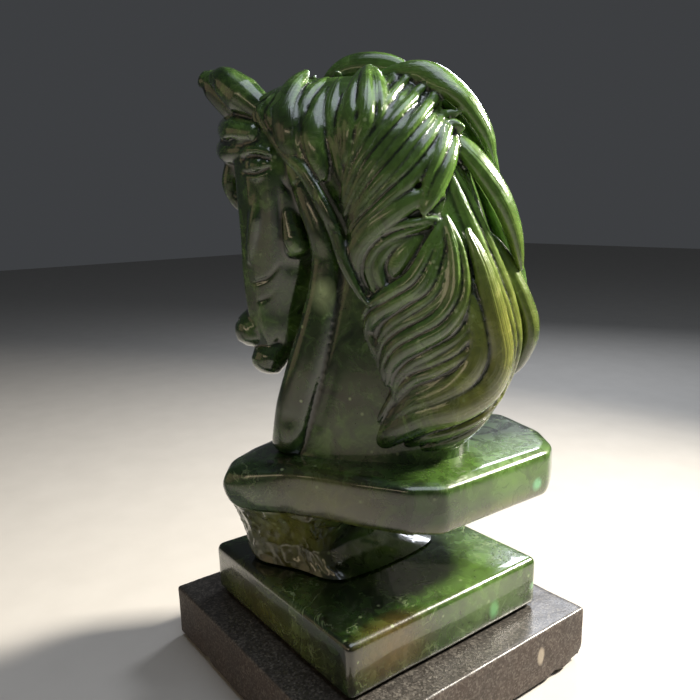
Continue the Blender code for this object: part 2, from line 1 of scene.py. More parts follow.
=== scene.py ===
"""Nephrite horse-head bust on its stem, base and plinth: the fine pieces, their stone and the studio.

Places in the carving are written in the horse's own directions, in millimetres: forward (towards
its nose), left, and height above the top of the slab that the neck stands on.
"""

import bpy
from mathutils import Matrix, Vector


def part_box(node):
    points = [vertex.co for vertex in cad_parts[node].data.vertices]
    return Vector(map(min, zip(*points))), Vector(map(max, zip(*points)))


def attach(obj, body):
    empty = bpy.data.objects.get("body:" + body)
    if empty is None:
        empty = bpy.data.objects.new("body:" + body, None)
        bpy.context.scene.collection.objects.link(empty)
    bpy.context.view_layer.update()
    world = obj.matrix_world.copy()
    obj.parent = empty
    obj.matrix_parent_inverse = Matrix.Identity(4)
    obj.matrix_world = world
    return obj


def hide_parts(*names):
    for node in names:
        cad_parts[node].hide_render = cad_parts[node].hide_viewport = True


bl_info = {
    "name": "Nephrite horse bust",
    "version": (1, 0, 0),
    "blender": (4, 5, 0),
    "location": "3D View > Sidebar > Horse bust",
    "description": "Carves the horse bust, its stem and base, and sets up a plain studio",
    "category": "Add Mesh",
}

import math

import bmesh
import bpy
import numpy as np
from bpy.props import FloatProperty, FloatVectorProperty, PointerProperty
from bpy.types import Operator, Panel, PropertyGroup
from mathutils import Matrix, Vector, noise

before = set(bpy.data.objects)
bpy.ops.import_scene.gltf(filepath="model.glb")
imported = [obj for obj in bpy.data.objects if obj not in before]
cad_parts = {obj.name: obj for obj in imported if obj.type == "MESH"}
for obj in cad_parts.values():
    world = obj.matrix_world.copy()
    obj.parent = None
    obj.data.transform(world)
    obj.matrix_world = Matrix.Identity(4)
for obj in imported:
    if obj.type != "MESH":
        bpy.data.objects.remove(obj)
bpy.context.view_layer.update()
MM = 0.001

BUST_LOW, BUST_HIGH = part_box("horse_bust")
STEM_LOW, STEM_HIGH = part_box("carved_stem")
BASE_LOW, BASE_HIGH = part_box("jade_base")
PLINTH_LOW, PLINTH_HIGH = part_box("stone_plinth")
SLAB_THICKNESS = 24.0  # millimetres
SLAB_BOTTOM = BUST_LOW.z / MM
SLAB_TOP = SLAB_BOTTOM + SLAB_THICKNESS
DRAWN_HORSE_HEIGHT = 187.6  # height of the drawn carving, from the slab's top to its highest lock
CARVING = (BUST_HIGH.z / MM - SLAB_TOP) / DRAWN_HORSE_HEIGHT
HORSE_HEADING = math.radians(50)  # turned from the line through the base's two sides
FORWARD = Vector((-math.sin(HORSE_HEADING), -math.cos(HORSE_HEADING), 0))
LEFT = Vector((math.cos(HORSE_HEADING), -math.sin(HORSE_HEADING), 0))
UP = Vector((0, 0, 1))

# Neck: height, front, back, half width
NECK = [
    (-4, 46, -50, 30), (8, 42, -50, 29), (23, 39, -50, 28.5), (43, 34, -48, 28),
    (63, 28, -46, 27), (83, 22, -46, 26), (98, 20, -46, 25.5), (113, 22, -44, 24.5),
    (128, 27, -40, 23), (143, 31, -36, 22.5), (158, 35, -30, 20), (168, 36, -26, 16),
    (174, 32, -20, 9),
]
NECK_SQUARENESS = (2.6, 2.6)

# Body of the mane, over the back of the neck: height, front, back, half width
MANE = [
    (4, 2, -47, 20), (14, 2, -57, 27), (30, -2, -64, 29.5), (50, -4, -69, 31),
    (70, -2, -69, 31), (82, 3, -67, 31), (92, 8, -63, 31), (106, 12, -58, 30.5),
    (118, 18, -54, 30), (132, 26, -49, 29.5), (140, 34, -46, 29), (150, 42, -41, 27),
    (160, 45, -36, 22), (167, 38, -28, 15), (172, 28, -20, 8), (174, 14, -10, 3),
]
MANE_SQUARENESS = (3.2, 2.3)  # of its front and its back

# Head, in its own directions about HEAD_PIVOT: height, nose line, throat, half width of the nasal
# plane, half width of the cheeks
HEAD = [
    (168, 10, -18, 5, 14), (155, 18, -22, 7, 20), (143, 21, -24, 8, 23),
    (131, 21, -28, 8, 22.5), (117, 20.5, -30, 7.5, 20.5), (103, 20, -30, 7, 18),
    (90, 20, -27, 6.5, 15.5), (78, 19.5, -21, 6.5, 13), (68, 18.5, -15, 7, 11.5),
    (58, 17, -12, 7, 11), (50, 14, -10, 6, 9.5), (43, 9, -8, 4, 8),
]
HEAD_PIVOT = 42.0
HEAD_YAW = math.radians(20)  # turned to the horse's left

# Rounded forms fused into the head and neck: path of (forward, left, height), radius at each point
LIMBS = [
    # muzzle and chin
    ([(54, 3, 63), (57, 5, 58), (57, 6, 54)], [8, 9.5, 8.5]),
    ([(44, 3, 49), (49, 6, 43), (50, 7, 40)], [8, 9, 8]),
    # cheek muscle
    ([(37, 12.5, 130), (34, 13.5, 116), (31, 13.5, 103), (29, 13, 98)], [2, 5, 7, 6.5]),
    # cord of the throat, from behind the jaw to the chest
    ([(30, 16, 140), (20, 19, 118), (14, 20, 98), (15, 21, 80), (19, 21, 62), (25, 21, 42),
      (31, 20, 22), (35, 18, 4)], [5, 7, 7.5, 8, 9, 10, 10.5, 10]),
    # ears
    ([(44, 12, 160), (54, 11, 168), (63, 10, 175), (68, 9.5, 177)], [7, 9, 7, 4]),
    ([(52, -12, 158), (66, -12, 168), (77, -11, 177), (82, -10.5, 180)], [8, 10, 8, 5]),
    # forelock
    ([(66, -9, 155), (64, 2, 154), (57, 13, 152), (46, 19, 150)], [6, 7, 7, 5]),
    ([(66, -9, 148), (69, -5, 146), (63, 7, 144), (52, 16, 143)], [4, 6, 6, 4]),
    ([(66, -4, 142), (69, -6, 130), (66, -6, 121), (61, -5, 115)], [4, 5, 4, 2]),
]

# Forms in the head's own directions (ahead, aside, height), made on both sides of the face
FACE_FORMS = [
    # brow, eyeball, lower lid
    ([(16, 13.5, 142), (11, 18.5, 143), (4, 22, 141)], [2.2, 3.2, 2.4]),
    ([(10.5, 17.3, 136), (8.5, 18.6, 136)], [4.4, 4.4]),
    ([(16, 14.5, 132.5), (10.5, 19.3, 131), (4, 21.6, 133)], [1.0, 1.7, 1.0]),
    # facial crest, from under the eye to the nose
    ([(10, 16.5, 124), (12, 15, 112), (14, 12, 100), (15, 10, 92)], [2.5, 3.5, 3, 2]),
]

# Hollows of the face, in the head's own directions, on both sides: path, radius, depth
FACE_HOLLOWS = [
    ([(18, 11, 66), (20, 10, 62), (19, 12, 59)], 2.4, 2.2),
    ([(17, 15, 139), (11, 20, 140.5), (5, 23, 138.5)], 1.3, 1.2),
    ([(17, 15, 133), (11, 21, 132.5), (5, 23, 134.5)], 1.1, 0.9),
    ([(4, 12, 52), (12, 13, 50.5), (20, 9, 49.5), (24, 0, 49)], 1.8, 2.0),
    ([(2, 17, 90), (8, 14, 84), (14, 12, 82)], 1.4, 0.8),
    ([(0, 17, 84), (6, 14, 76), (12, 12, 73)], 1.4, 0.7),
    ([(-4, 19, 89), (-10, 18, 88), (-15, 14, 90)], 5.0, 1.5),
]

# Creases and hollows elsewhere: path of (forward, left, height), radius, depth
HOLLOWS = [
    ([(6, 28, 130), (5, 29, 105), (4, 29, 80), (7, 30, 58), (12, 30, 36), (19, 30, 16)], 2.6, 1.6),
    ([(57, 8, 163), (63, 6, 167), (68, 6, 173)], 3.0, 2.2),
    ([(66, -12, 159), (75, -12, 167), (82, -11, 174)], 3.4, 2.8),
    ([(66, 8, 149), (57, 20, 147), (46, 25, 146)], 1.8, 2.0),
    ([(36, 19, 130), (36, 19, 118), (36, 18, 106), (35, 18, 98), (30, 18, 92), (25, 19, 92),
      (23, 19, 98), (26, 20, 110), (30, 20, 122), (35, 19, 131)], 1.4, 0.9),
    ([(15, 30, 92), (15, 31, 80), (19, 32, 62), (25, 33, 42), (31, 32, 20)], 9.0, 2.6),
]

# Locks on the mane's left side: path of (forward, height), half width, lift off the mane's body,
# strands side by side
LEFT_LOCKS = [
    # over the temple and at the crest
    ([(31, 8, 172), (38, 15, 166), (44, 18, 160), (40, 20, 151), (35, 22, 147)], 4.6, 0, 2),
    ([(30, 10, 172), (35, 17, 165), (38, 21, 157), (33, 23, 149), (29, 25, 141)], 5.4, 0, 2),
    ([(24, 6, 178), (28, 15, 169), (30, 21, 160), (29, 25, 152), (28, 26, 144), (24, 27, 136)],
     7.4, 0, 1),
    ([(14, 6, 174), (18, 17, 163), (19, 24, 151), (17, 27, 141), (12, 29, 128)], 9.6, 0, 2),
    ([(8, 10, 173), (9, 20, 161), (8, 25, 150), (5, 28, 142), (3, 30, 126)], 5.0, 0.5, 1),
    ([(-4, 5, 178), (-6, 18, 166), (-6, 25, 155), (-3, 28, 146), (1, 30, 132)], 11.5, 0, 4),
    # front hem, from the ear down to the throat
    ([(42, 20, 154), (36, 24, 147), (30, 26, 140), (21, 29, 132), (13, 30, 118), (7, 31, 105),
      (3, 32, 92), (-3, 32, 80), (-8, 32, 73)], 3.4, 0, 1),
    ([(17, 29, 130), (14, 30, 122), (9, 31, 112), (4, 31, 103)], 3.6, 0.5, 1),
    # fan
    ([(-12, 4, 176), (-16, 171), (-13, 161), (-9, 150), (-4, 140), (2, 124)], 4.4, 1.5, 2),
    ([(-20, 6, 175), (-21, 169), (-16, 157), (-9, 144), (-2, 131), (3, 117)], 5.0, 2, 2),
    ([(-31, 6, 171), (-28, 165), (-21, 152), (-12, 139), (-4, 127), (3, 112)], 5.2, 2, 2),
    ([(-39, 7, 165), (-33, 161), (-28, 149), (-19, 135), (-8, 122), (1, 108)], 5.4, 2.5, 2),
    ([(-45, 8, 157), (-37, 154), (-33, 142), (-26, 130), (-15, 119), (-4, 108), (1, 98)], 5.4, 2.5, 2),
    ([(-48, 12, 150), (-39, 148), (-38, 136), (-35, 124), (-31, 112)], 6.5, 3, 2),
    ([(-40, 121), (-31, 120), (-22, 116), (-12, 109), (-4, 100), (-2, 90), (-5, 81), (-10, 74)],
     5.6, 2, 1),
    ([(-38, 111), (-31, 109), (-20, 106), (-11, 100), (-7, 91), (-9, 82), (-13, 76)], 4.0, 1, 2),
    ([(-28, 103), (-18, 100), (-12, 92), (-13, 84), (-17, 78)], 3.0, 0.5, 1),
    ([(-32, 105), (-25, 99), (-20, 91), (-20, 85)], 4.6, -1, 1),
    # S-shaped locks below
    ([(-39, 110), (-35, 98), (-29, 85), (-19, 77), (-11, 70), (-8, 62), (-10, 54), (-12, 48)],
     6.2, 2.4, 2),
    ([(-41, 110), (-39, 95), (-35, 81), (-25, 73), (-17, 66), (-13, 58), (-13, 48)], 4.8, 1.8, 2),
    ([(-42, 110), (-43, 92), (-42, 78), (-34, 69), (-24, 63), (-17, 56), (-14, 47), (-15, 40)],
     5.2, 2, 2),
    ([(-40, 112), (-45, 95), (-46, 79), (-40, 67), (-30, 60), (-22, 54), (-17, 46), (-16, 37)],
     6.2, 3.2, 2),
    ([(-47, 92), (-50, 76), (-46, 63), (-35, 55), (-26, 49), (-20, 41), (-19, 32)], 4.8, 1.6, 2),
    ([(-52, 84), (-54, 68), (-48, 55), (-37, 47), (-27, 42), (-21, 35), (-19, 27)], 4.8, 1.6, 2),
    ([(-54, 76), (-56, 60), (-50, 46), (-39, 39), (-29, 35), (-22, 29), (-18, 20)], 4.6, 1.2, 1),
    ([(-48, 106), (-55, 88), (-60, 68), (-62, 50), (-57, 37), (-46, 29), (-33, 24), (-23, 18),
      (-14, 11), (-6, 4)], 8.0, 3.4, 1),
    ([(-48, 84), (-53, 68), (-54, 52), (-47, 40), (-37, 33), (-27, 28), (-20, 21), (-12, 11)],
     6.0, 2.6, 1),
    ([(-64, 66), (-65, 50), (-63, 34), (-54, 24), (-42, 18), (-31, 14), (-22, 9), (-12, 4)], 5.0, 2, 2),
    ([(-64, 44), (-60, 30), (-52, 19), (-41, 12), (-31, 8), (-22, 4)], 5.0, 2, 2),
    ([(-61, 28), (-53, 18), (-44, 10), (-35, 5), (-27, 2)], 4.5, 1, 2),
    ([(-21, 38), (-17, 28), (-13, 19), (-8, 11), (-2, 4)], 4.0, 1, 2),
]

# Locks on the mane's right side
RIGHT_LOCKS = [
    ([(22, 176), (33, 166), (34, 154), (24, 142), (14, 130)], 7, 1, 2),
    ([(12, 177), (16, 164), (12, 150), (6, 136), (2, 122)], 8, 2, 3),
    ([(-2, 177), (2, 163), (2, 148), (0, 134)], 8, 3, 2),
    ([(-18, 170), (-12, 155), (-6, 140), (0, 124), (-2, 106)], 7, 2, 2),
    ([(-25, 166), (-18, 149), (-9, 133), (-3, 117), (-4, 100)], 4.5, 2, 1),
    ([(-30, 160), (-24, 144), (-14, 128), (-6, 112), (-6, 96)], 7, 2, 2),
    ([(-37, 146), (-32, 128), (-20, 112), (-10, 98), (-8, 82)], 7, 2, 3),
    ([(-40, 136), (-35, 117), (-23, 102), (-12, 90), (-9, 74)], 4.5, 2, 1),
    ([(-42, 126), (-38, 108), (-26, 94), (-14, 82), (-10, 66)], 7, 2, 2),
    ([(-48, 108), (-44, 90), (-32, 76), (-18, 66), (-12, 50)], 7, 2, 3),
    ([(-52, 98), (-47, 81), (-34, 67), (-20, 57), (-13, 41)], 4.5, 2, 1),
    ([(-54, 90), (-50, 72), (-36, 58), (-22, 48), (-14, 32)], 7, 2, 2),
    ([(-58, 72), (-54, 54), (-40, 40), (-26, 30), (-14, 14)], 7, 2, 3),
    ([(-60, 60), (-54, 42), (-40, 30), (-25, 20), (-12, 8)], 4.5, 2, 1),
    ([(-60, 50), (-52, 32), (-38, 22), (-22, 12), (-8, 4)], 6.5, 1, 2),
    ([(-56, 30), (-48, 17), (-36, 9), (-22, 4)], 5, 1, 2),
]

# Rope-like locks down the crest: path of (forward, left, height), half width, strands
CREST_LOCKS = [
    ([(22, -12, 175), (8, -14, 181), (-10, -14, 180), (-24, -12, 174)], 7, 1),
    ([(-8, 6, 174), (-28, 6, 173), (-43, 5, 165), (-55, 3, 149), (-60, 0, 134)], 7.5, 1),
    ([(-34, 12, 154), (-50, 11, 138), (-62, 8, 121), (-69, 4, 104), (-73, 2, 86)], 7.5, 1),
    ([(-38, 19, 138), (-48, 18, 116), (-58, 15, 92), (-66, 12, 72), (-70, 10, 52), (-65, 9, 27)],
     8, 2),
    ([(-58, 4, 104), (-67, 0, 88), (-77, -2, 62), (-74, -3, 46), (-67, -4, 34)], 7.5, 1),
    ([(-52, 17, 84), (-61, 15, 68), (-66, 13, 50), (-60, 12, 24)], 7, 2),
    ([(-20, -8, 172), (-40, -10, 162), (-54, -12, 144), (-62, -13, 122)], 8, 2),
    ([(-44, -18, 142), (-56, -17, 120), (-66, -14, 96), (-72, -12, 72), (-68, -12, 46)], 8, 2),
    ([(-52, -22, 110), (-60, -21, 86), (-66, -18, 60), (-62, -16, 30)], 8, 2),
]

# Slab: corners of its widest outline in X and Y
SLAB_OUTLINE = [
    (67, -12), (67, 58), (61, 68), (44, 80), (14, 88), (-12, 72), (-34, 46), (-48, 18),
    (-50, -6), (-46, -28), (-38, -50), (-29, -66), (-18, -74), (-8, -68), (3, -56), (18, -46),
    (38, -36), (57, -25),
]
# Profile of its side: share of the thickness, inset, and further inset round the nose end
SLAB_PROFILE = [
    (0.0, 4, 7), (0.06, 1.6, 5), (0.2, 0.4, 2.5), (0.42, 0, 0.5), (0.62, 0, 0), (0.84, 0.2, 2.5),
    (0.93, 1.4, 6), (1.0, 5, 9),
]
SLAB_NOSE = (25, 58)  # where the nose end starts and is full, forward of the middle
SLAB_MIDDLE = (0, 4)
SLAB_ROUNDING = 3.0  # at the corners of its outline
SLAB_STEP = 2.0  # between two points along its side
SLAB_TOP_RINGS = (0.97, 0.94, 0.9, 0.8, 0.6, 0.4, 0.2, 0.05)  # shares of the way from the middle
SLAB_BOTTOM_RINGS = (0.05, 0.5, 0.9)

# Stem: corners in X and Y at the foot, the waist and the crown
STEM_FOOT = [
    (17, -28), (14, 28), (-12, 36), (-38, 22), (-48, -10), (-44, -36), (-30, -52), (-6, -42),
]
STEM_WAIST = [
    (5, -31), (1, 6), (-16, 15), (-36, 7), (-46, -14), (-43, -38), (-33, -54), (-10, -42),
]
STEM_CROWN = [
    (14, -34), (4, 11), (-16, 19), (-36, 8), (-46, -16), (-43, -44), (-33, -62), (-8, -52),
]
STEM_LEVELS = [(0.0, 0.0), (0.05, 0.25), (0.15, 0.68), (0.32, 1.0), (0.55, 1.25), (0.75, 1.6),
               (0.9, 1.9), (1.0, 2.0)]  # share of the height, and which outline, 0 to 2
STEM_RIDGES = [(0.055, 4, 0.9, 0.4), (0.040, 6.5, -0.8, 0)]  # rise, count, lean and turn
STEM_RINGS = 60
STEM_SAMPLES = 28  # between two corners

HALF_OVERLAP = 1.5  # how far each half of the mane's body passes the middle
CREASE_ROUNDS = 14  # how widely a place is compared with its surroundings
MOST_TRIANGLES = 195000  # in one piece
LOCK_SIDES = 36  # points round a lock
LOCK_SAMPLES = 7  # rings between two points of a lock's path
LOCK_FLATNESS = 0.66  # height of a lock as a share of its half width
STRAND_WANDER = 0.12  # how far the strands of a lock swing from side to side
LIMB_SIDES = 28
LIMB_SAMPLES = 8
LIMB_CAP_ANGLES = (0.3, 0.6, 1.0, 1.35)  # of the rings that round off an end
LIMB_CAP_LENGTH = 0.6
STROKE_SAMPLES = 24
HEAD_POLISH = 5  # rounds of smoothing after the forms are fused
MANE_POLISH = 2
LOCK_SPACING = 7.0  # keeps the strand patterns of two locks apart

CLOSE_FIT = 0.4  # clearances round the hidden pieces
LOOSE_FIT = 0.5
WASHER_FIT = 3.0
WASHER_HEADROOM = 0.3
HOLE_OVERRUN = 1.0


def linear(code):
    """sRGB hex value as linear colour with alpha."""
    parts = [int(code[i:i + 2], 16) / 255 for i in (1, 3, 5)]
    return (*[p / 12.92 if p <= 0.04045 else ((p + 0.055) / 1.055) ** 2.4 for p in parts], 1.0)


# ---------------------------------------------------------------- settings

def colour(name, description, code):
    return FloatVectorProperty(
        name=name, description=description, subtype="COLOR", size=4, min=0, max=1,
        default=linear(code),
    )


def power(name, description, watts):
    return FloatProperty(name=name, description=description, default=watts, unit="POWER")


def fine_length(name, description, millimetres):
    return FloatProperty(
        name=name, description=description, default=millimetres * MM, unit="LENGTH",
        subtype="DISTANCE",
    )


class NephriteSettings(PropertyGroup):
    """The carved stone."""
    detail: fine_length("Carving detail", "Finest step of the carved surface", 0.75)
    strand_depth: fine_length("Strand depth", "Depth of the grooves between strands", 2.4)
    dark: colour("Dark green", "Nephrite in the thick of the stone", "#0C1606")
    green: colour("Green", "Main green of the nephrite", "#2A4418")
    bright: colour("Bright green", "Clearer clouds in the nephrite", "#64893A")
    olive: colour("Olive", "Yellow-green skin side of the stone", "#80803A")


class PlinthSettings(PropertyGroup):
    """The dark stone plinth."""
    honed: colour("Honed top", "Grey of the honed upper face", "#35332F")
    sawn: colour("Sawn side", "Brown-grey of the sawn sides", "#43342A")


class StudioSettings(PropertyGroup):
    """Floor, lights and camera."""
    key: power("Key light", "Small light from behind on the right", 5.8)
    sky: power("Overhead light", "Broad light overhead", 4.0)
    bounce: power("Floor light", "Lights the floor in front of the figurine", 1.0)
    rim: power("Rim light", "Small light from behind on the left", 3.0)
    fill: power("Fill light", "Broad light from the left", 0.7)
    floor: colour("Floor", "Pale floor", "#BDBAB4")


# ---------------------------------------------------------------- shared helpers

def deselect():
    if bpy.context.mode != "OBJECT":
        bpy.ops.object.mode_set(mode="OBJECT")
    bpy.ops.object.select_all(action="DESELECT")


def activate(obj):
    deselect()
    obj.select_set(True)
    bpy.context.view_layer.objects.active = obj


def add_modifier(obj, kind, **settings):
    modifier = obj.modifiers.new(kind.title(), kind)
    for name, value in settings.items():
        setattr(modifier, name, value)
    return modifier


def apply_modifiers(obj):
    activate(obj)
    for modifier in list(obj.modifiers):
        bpy.ops.object.modifier_apply(modifier=modifier.name)


def finish_piece(obj, material, slot, *nodes, smooth=180):
    """Material, shading, body and the CAD nodes that this piece stands for."""
    obj.data.materials.clear()
    obj.data.materials.append(material)
    activate(obj)
    bpy.ops.object.shade_smooth_by_angle(angle=math.radians(smooth))
    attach(obj, "root")
    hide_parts(*nodes)


def new_object(name, bm):
    bmesh.ops.recalc_face_normals(bm, faces=bm.faces)
    mesh = bpy.data.meshes.new(name)
    bm.to_mesh(mesh)
    bm.free()
    obj = bpy.data.objects.new(name, mesh)
    bpy.context.scene.collection.objects.link(obj)
    return obj


def drill(obj, diameter, bottom, top, x, y):
    """A round hole from bottom to top, all in metres."""
    deselect()
    bpy.ops.mesh.primitive_cylinder_add(
        vertices=64, radius=diameter / 2, depth=top - bottom, location=(x, y, (top + bottom) / 2)
    )
    drill_bit = bpy.context.active_object
    activate(obj)
    cut = add_modifier(obj, "BOOLEAN", operation="DIFFERENCE", solver="EXACT", object=drill_bit)
    bpy.ops.object.modifier_apply(modifier=cut.name)
    bpy.data.objects.remove(drill_bit)


def hole_round(node, clearance):
    """Diameter, bottom, top, x and y of the hole that holds this hidden piece."""
    low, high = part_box(node)
    middle = (low + high) / 2
    overrun = HOLE_OVERRUN * MM
    return (
        high.x - low.x + 2 * clearance * MM, low.z - overrun, high.z + overrun, middle.x, middle.y,
    )


# ---------------------------------------------------------------- carving

def carved(forward, left, height):
    """Point in the horse's directions, as a world position in millimetres."""
    flat = (FORWARD * forward + LEFT * left) * CARVING
    return flat + UP * (SLAB_TOP + height * CARVING)


def head_to_horse(ahead, aside, height):
    """Point in the turned head's own directions, in the horse's."""
    c, s = math.cos(HEAD_YAW), math.sin(HEAD_YAW)
    return HEAD_PIVOT + ahead * c - aside * s, ahead * s + aside * c, height


def smooth_path(points, samples):
    """Catmull-Rom curve through the points, with the same number of samples in each stretch."""
    rows = [Vector(p) for p in points]
    rows = [rows[0] * 2 - rows[1]] + rows + [rows[-1] * 2 - rows[-2]]
    curve = []
    for a, b, c, d in zip(rows, rows[1:], rows[2:], rows[3:]):
        for step in range(samples):
            t = step / samples
            curve.append(
                (b * 2 + (c - a) * t + (a * 2 - b * 5 + c * 4 - d) * t * t
                 + (b * 3 - a - c * 3 + d) * t ** 3) * 0.5
            )
    return curve + [rows[-2]]


def add_closed_loft(bm, rings):
    """A closed tube through rings of world points in millimetres, capped at both ends."""
    loops = [[bm.verts.new(point * MM) for point in ring] for ring in rings]
    for lower, upper in zip(loops, loops[1:]):
        for i, corner in enumerate(lower):
            j = (i + 1) % len(lower)
            bm.faces.new((corner, lower[j], upper[j], upper[i]))
    bm.faces.new(list(reversed(loops[0])))
    bm.faces.new(loops[-1])


def smooth_table(table, samples=4):
    """Rows between the rows of a table of sections, on smooth curves."""
    columns = len(table[0])
    table = [tuple(row) + (0,) * (-columns % 4) for row in table]
    groups = [
        smooth_path([row[k:k + 4] for row in table], samples) for k in range(0, len(table[0]), 4)
    ]
    return [tuple(v for part in parts for v in part)[:columns] for parts in zip(*groups)]


def squared(angle, half_length, half_width, squareness):
    """Point of a superellipse, as forward and left offsets."""
    c, s = math.cos(angle), math.sin(angle)
    power = 2 / squareness
    return (
        half_length * math.copysign(abs(c) ** power, c),
        half_width * math.copysign(abs(s) ** power, s),
    )


def add_upright_form(bm, sections, squareness, side=0, sides=72):
    """A form lofted upwards, whole or, with a side of 1 or -1, its left or its right half."""
    rings = []
    for height, front, back, half_width in smooth_table(sections):
        ring = []
        for i in range(sides):
            angle = 2 * math.pi * i / sides
            forward, left = squared(
                angle, (front - back) / 2, half_width, squareness[math.cos(angle) < 0]
            )
            if side:
                left = side * max(side * left, -HALF_OVERLAP)
            ring.append(carved((front + back) / 2 + forward, left, height))
        rings.append(ring)
    add_closed_loft(bm, rings)


def add_head(bm):
    """The skull, from the flat of the nose round the cheeks to the throat."""
    rings = []
    for height, nose, throat, nasal, cheek in smooth_table(HEAD):
        half = [
            (nose, 0), (nose - 0.5, nasal), (nose - 6, (nasal + cheek) / 2 + 2),
            (nose - 15, cheek), ((nose + throat) / 2 - 4, cheek), (throat + 5, cheek * 0.8),
            (throat, cheek * 0.4),
        ]
        right = [(ahead, -aside) for ahead, aside in reversed(half[1:])]
        corners = [Vector(p) for p in half + right]
        outline = [
            a.lerp(b, k / 4) for a, b in zip(corners, corners[1:] + corners[:1]) for k in range(4)
        ]
        rings.append([carved(*head_to_horse(p.x, p.y, height)) for p in outline])
    add_closed_loft(bm, rings)


def add_limb(bm, points, radii):
    """A rounded form along a path, its radius running through the given ones."""
    path = smooth_path(points, LIMB_SAMPLES)
    sizes = np.interp(np.arange(len(path)) / LIMB_SAMPLES, np.arange(len(radii)), radii)
    cap = [(math.sin(angle), math.cos(angle)) for angle in LIMB_CAP_ANGLES]
    rings = []
    for i, centre in enumerate(path):
        along = (path[min(i + 1, len(path) - 1)] - path[max(i - 1, 0)]).normalized()
        across = along.cross(UP if abs(along.z) < 0.9 else FORWARD).normalized()
        other = along.cross(across).normalized()
        steps = [(0.0, 1.0)]
        if i == 0:
            steps = [(-ahead, share) for ahead, share in reversed(cap)] + steps
        if i == len(path) - 1:
            steps += cap
        for ahead, share in steps:
            ring = []
            for k in range(LIMB_SIDES):
                angle = 2 * math.pi * k / LIMB_SIDES
                offset = (across * math.cos(angle) + other * math.sin(angle)) * sizes[i] * share
                ring.append(carved(*(centre + along * ahead * sizes[i] * LIMB_CAP_LENGTH + offset)))
            rings.append(ring)
    add_closed_loft(bm, rings)


MANE_TABLE = np.array(MANE, float)


def mane_section(height):
    """Front, back and half width of the mane's body."""
    return [float(np.interp(height, MANE_TABLE[:, 0], MANE_TABLE[:, k])) for k in (1, 2, 3)]


def on_mane(forward, height, side):
    """Where the mane's body has this place on its side, as (forward, left, height)."""
    front, back, half_width = mane_section(height)
    reach = min(abs(2 * forward - front - back) / (front - back), 0.97)
    squareness = MANE_SQUARENESS[2 * forward < front + back]
    left = half_width * (1 - reach ** squareness) ** (1 / squareness)
    return Vector((forward, side * left, height))


def outward(point):
    """Direction out of the mane's body near this point."""
    front, back, half_width = mane_section(point.z)
    half_length = (front - back) / 2
    x = (point.x - (front + back) / 2) / half_length
    y = point.y / half_width
    slope = MANE_SQUARENESS[x < 0] - 1
    return Vector((
        math.copysign(abs(x) ** slope, x) / half_length,
        math.copysign(abs(y) ** slope, y) / half_width,
        0.012 if point.z > 160 else 0.0,
    )).normalized()


def add_lock(bm, points, half_width, lift, strands, groove):
    """A lock of hair with round strands side by side, drawn to a tip at each end.

    Returns its middle line, the way across it and its half width at each ring, for comb.
    """
    path = smooth_path(points, LOCK_SAMPLES)
    rings, centres, acrosses, widths = [], [], [], []
    for i, centre in enumerate(path):
        t = i / (len(path) - 1)
        fullness = math.sin(math.pi * min(max(t, 0.01), 0.99)) ** 0.5
        along = (path[min(i + 1, len(path) - 1)] - path[max(i - 1, 0)]).normalized()
        out = outward(centre)
        across = along.cross(out).normalized()
        out = across.cross(along).normalized()
        middle = centre + out * lift
        ring = []
        for k in range(LOCK_SIDES):
            angle = 2 * math.pi * k / LOCK_SIDES
            c, s = math.cos(angle), math.sin(angle)
            place = math.asin(c) / math.pi + 0.5 + STRAND_WANDER * math.sin(3 * t + strands)
            valley = 1 - abs(math.sin(math.pi * strands * place))
            depth = groove * valley ** 2.5 * min(1.0, 2 * fullness - 0.5) * (strands > 1)
            ring.append(carved(*(
                middle + across * (c * half_width * fullness)
                + out * (s * (half_width * LOCK_FLATNESS * fullness - (depth if s > 0 else 0)))
            )))
        rings.append(ring)
        centres.append(sum(ring, Vector()) / LOCK_SIDES)
        acrosses.append((ring[0] - ring[LOCK_SIDES // 2]).normalized())
        widths.append(max(half_width * fullness, 0.5))
    add_closed_loft(bm, rings)
    return np.array(centres), np.array(acrosses), np.array(widths), half_width


def read_vertices(obj, name="co"):
    """The vertices' places, or their normals, one row each."""
    values = np.empty(len(obj.data.vertices) * 3)
    obj.data.vertices.foreach_get(name, values)
    return values.reshape(-1, 3)


def write_points(obj, points):
    obj.data.vertices.foreach_set("co", points.astype(np.float32).ravel())
    obj.data.update()


def read_edges(obj):
    """The vertex numbers at the two ends of every edge."""
    ends = np.empty(len(obj.data.edges) * 2, np.int32)
    obj.data.edges.foreach_get("vertices", ends)
    return ends[::2], ends[1::2]


def keep_outer_skin(obj):
    """Removes the pockets that fusing leaves between forms: every shell but the largest."""
    mesh = obj.data
    a, b = read_edges(obj)
    label = np.arange(len(mesh.vertices))
    while True:
        low = np.minimum(label[a], label[b])
        new = label.copy()
        np.minimum.at(new, a, low)
        np.minimum.at(new, b, low)
        new = new[new]
        if (new == label).all():
            break
        label = new
    names, count = np.unique(label, return_counts=True)
    if len(names) == 1:
        return
    bm = bmesh.new()
    bm.from_mesh(mesh)
    bm.verts.ensure_lookup_table()
    main = names[count.argmax()]
    stray = [bm.verts[int(i)] for i in np.nonzero(label != main)[0]]
    bmesh.ops.delete(bm, geom=stray, context="VERTS")
    bm.to_mesh(mesh)
    bm.free()


def fuse(obj, step, smoothing):
    """One skin round all the forms, with the steps of the fusing polished out."""
    add_modifier(obj, "REMESH", mode="VOXEL", voxel_size=step)
    apply_modifiers(obj)
    keep_outer_skin(obj)
    add_modifier(obj, "SMOOTH", factor=0.5, iterations=smoothing)
    apply_modifiers(obj)


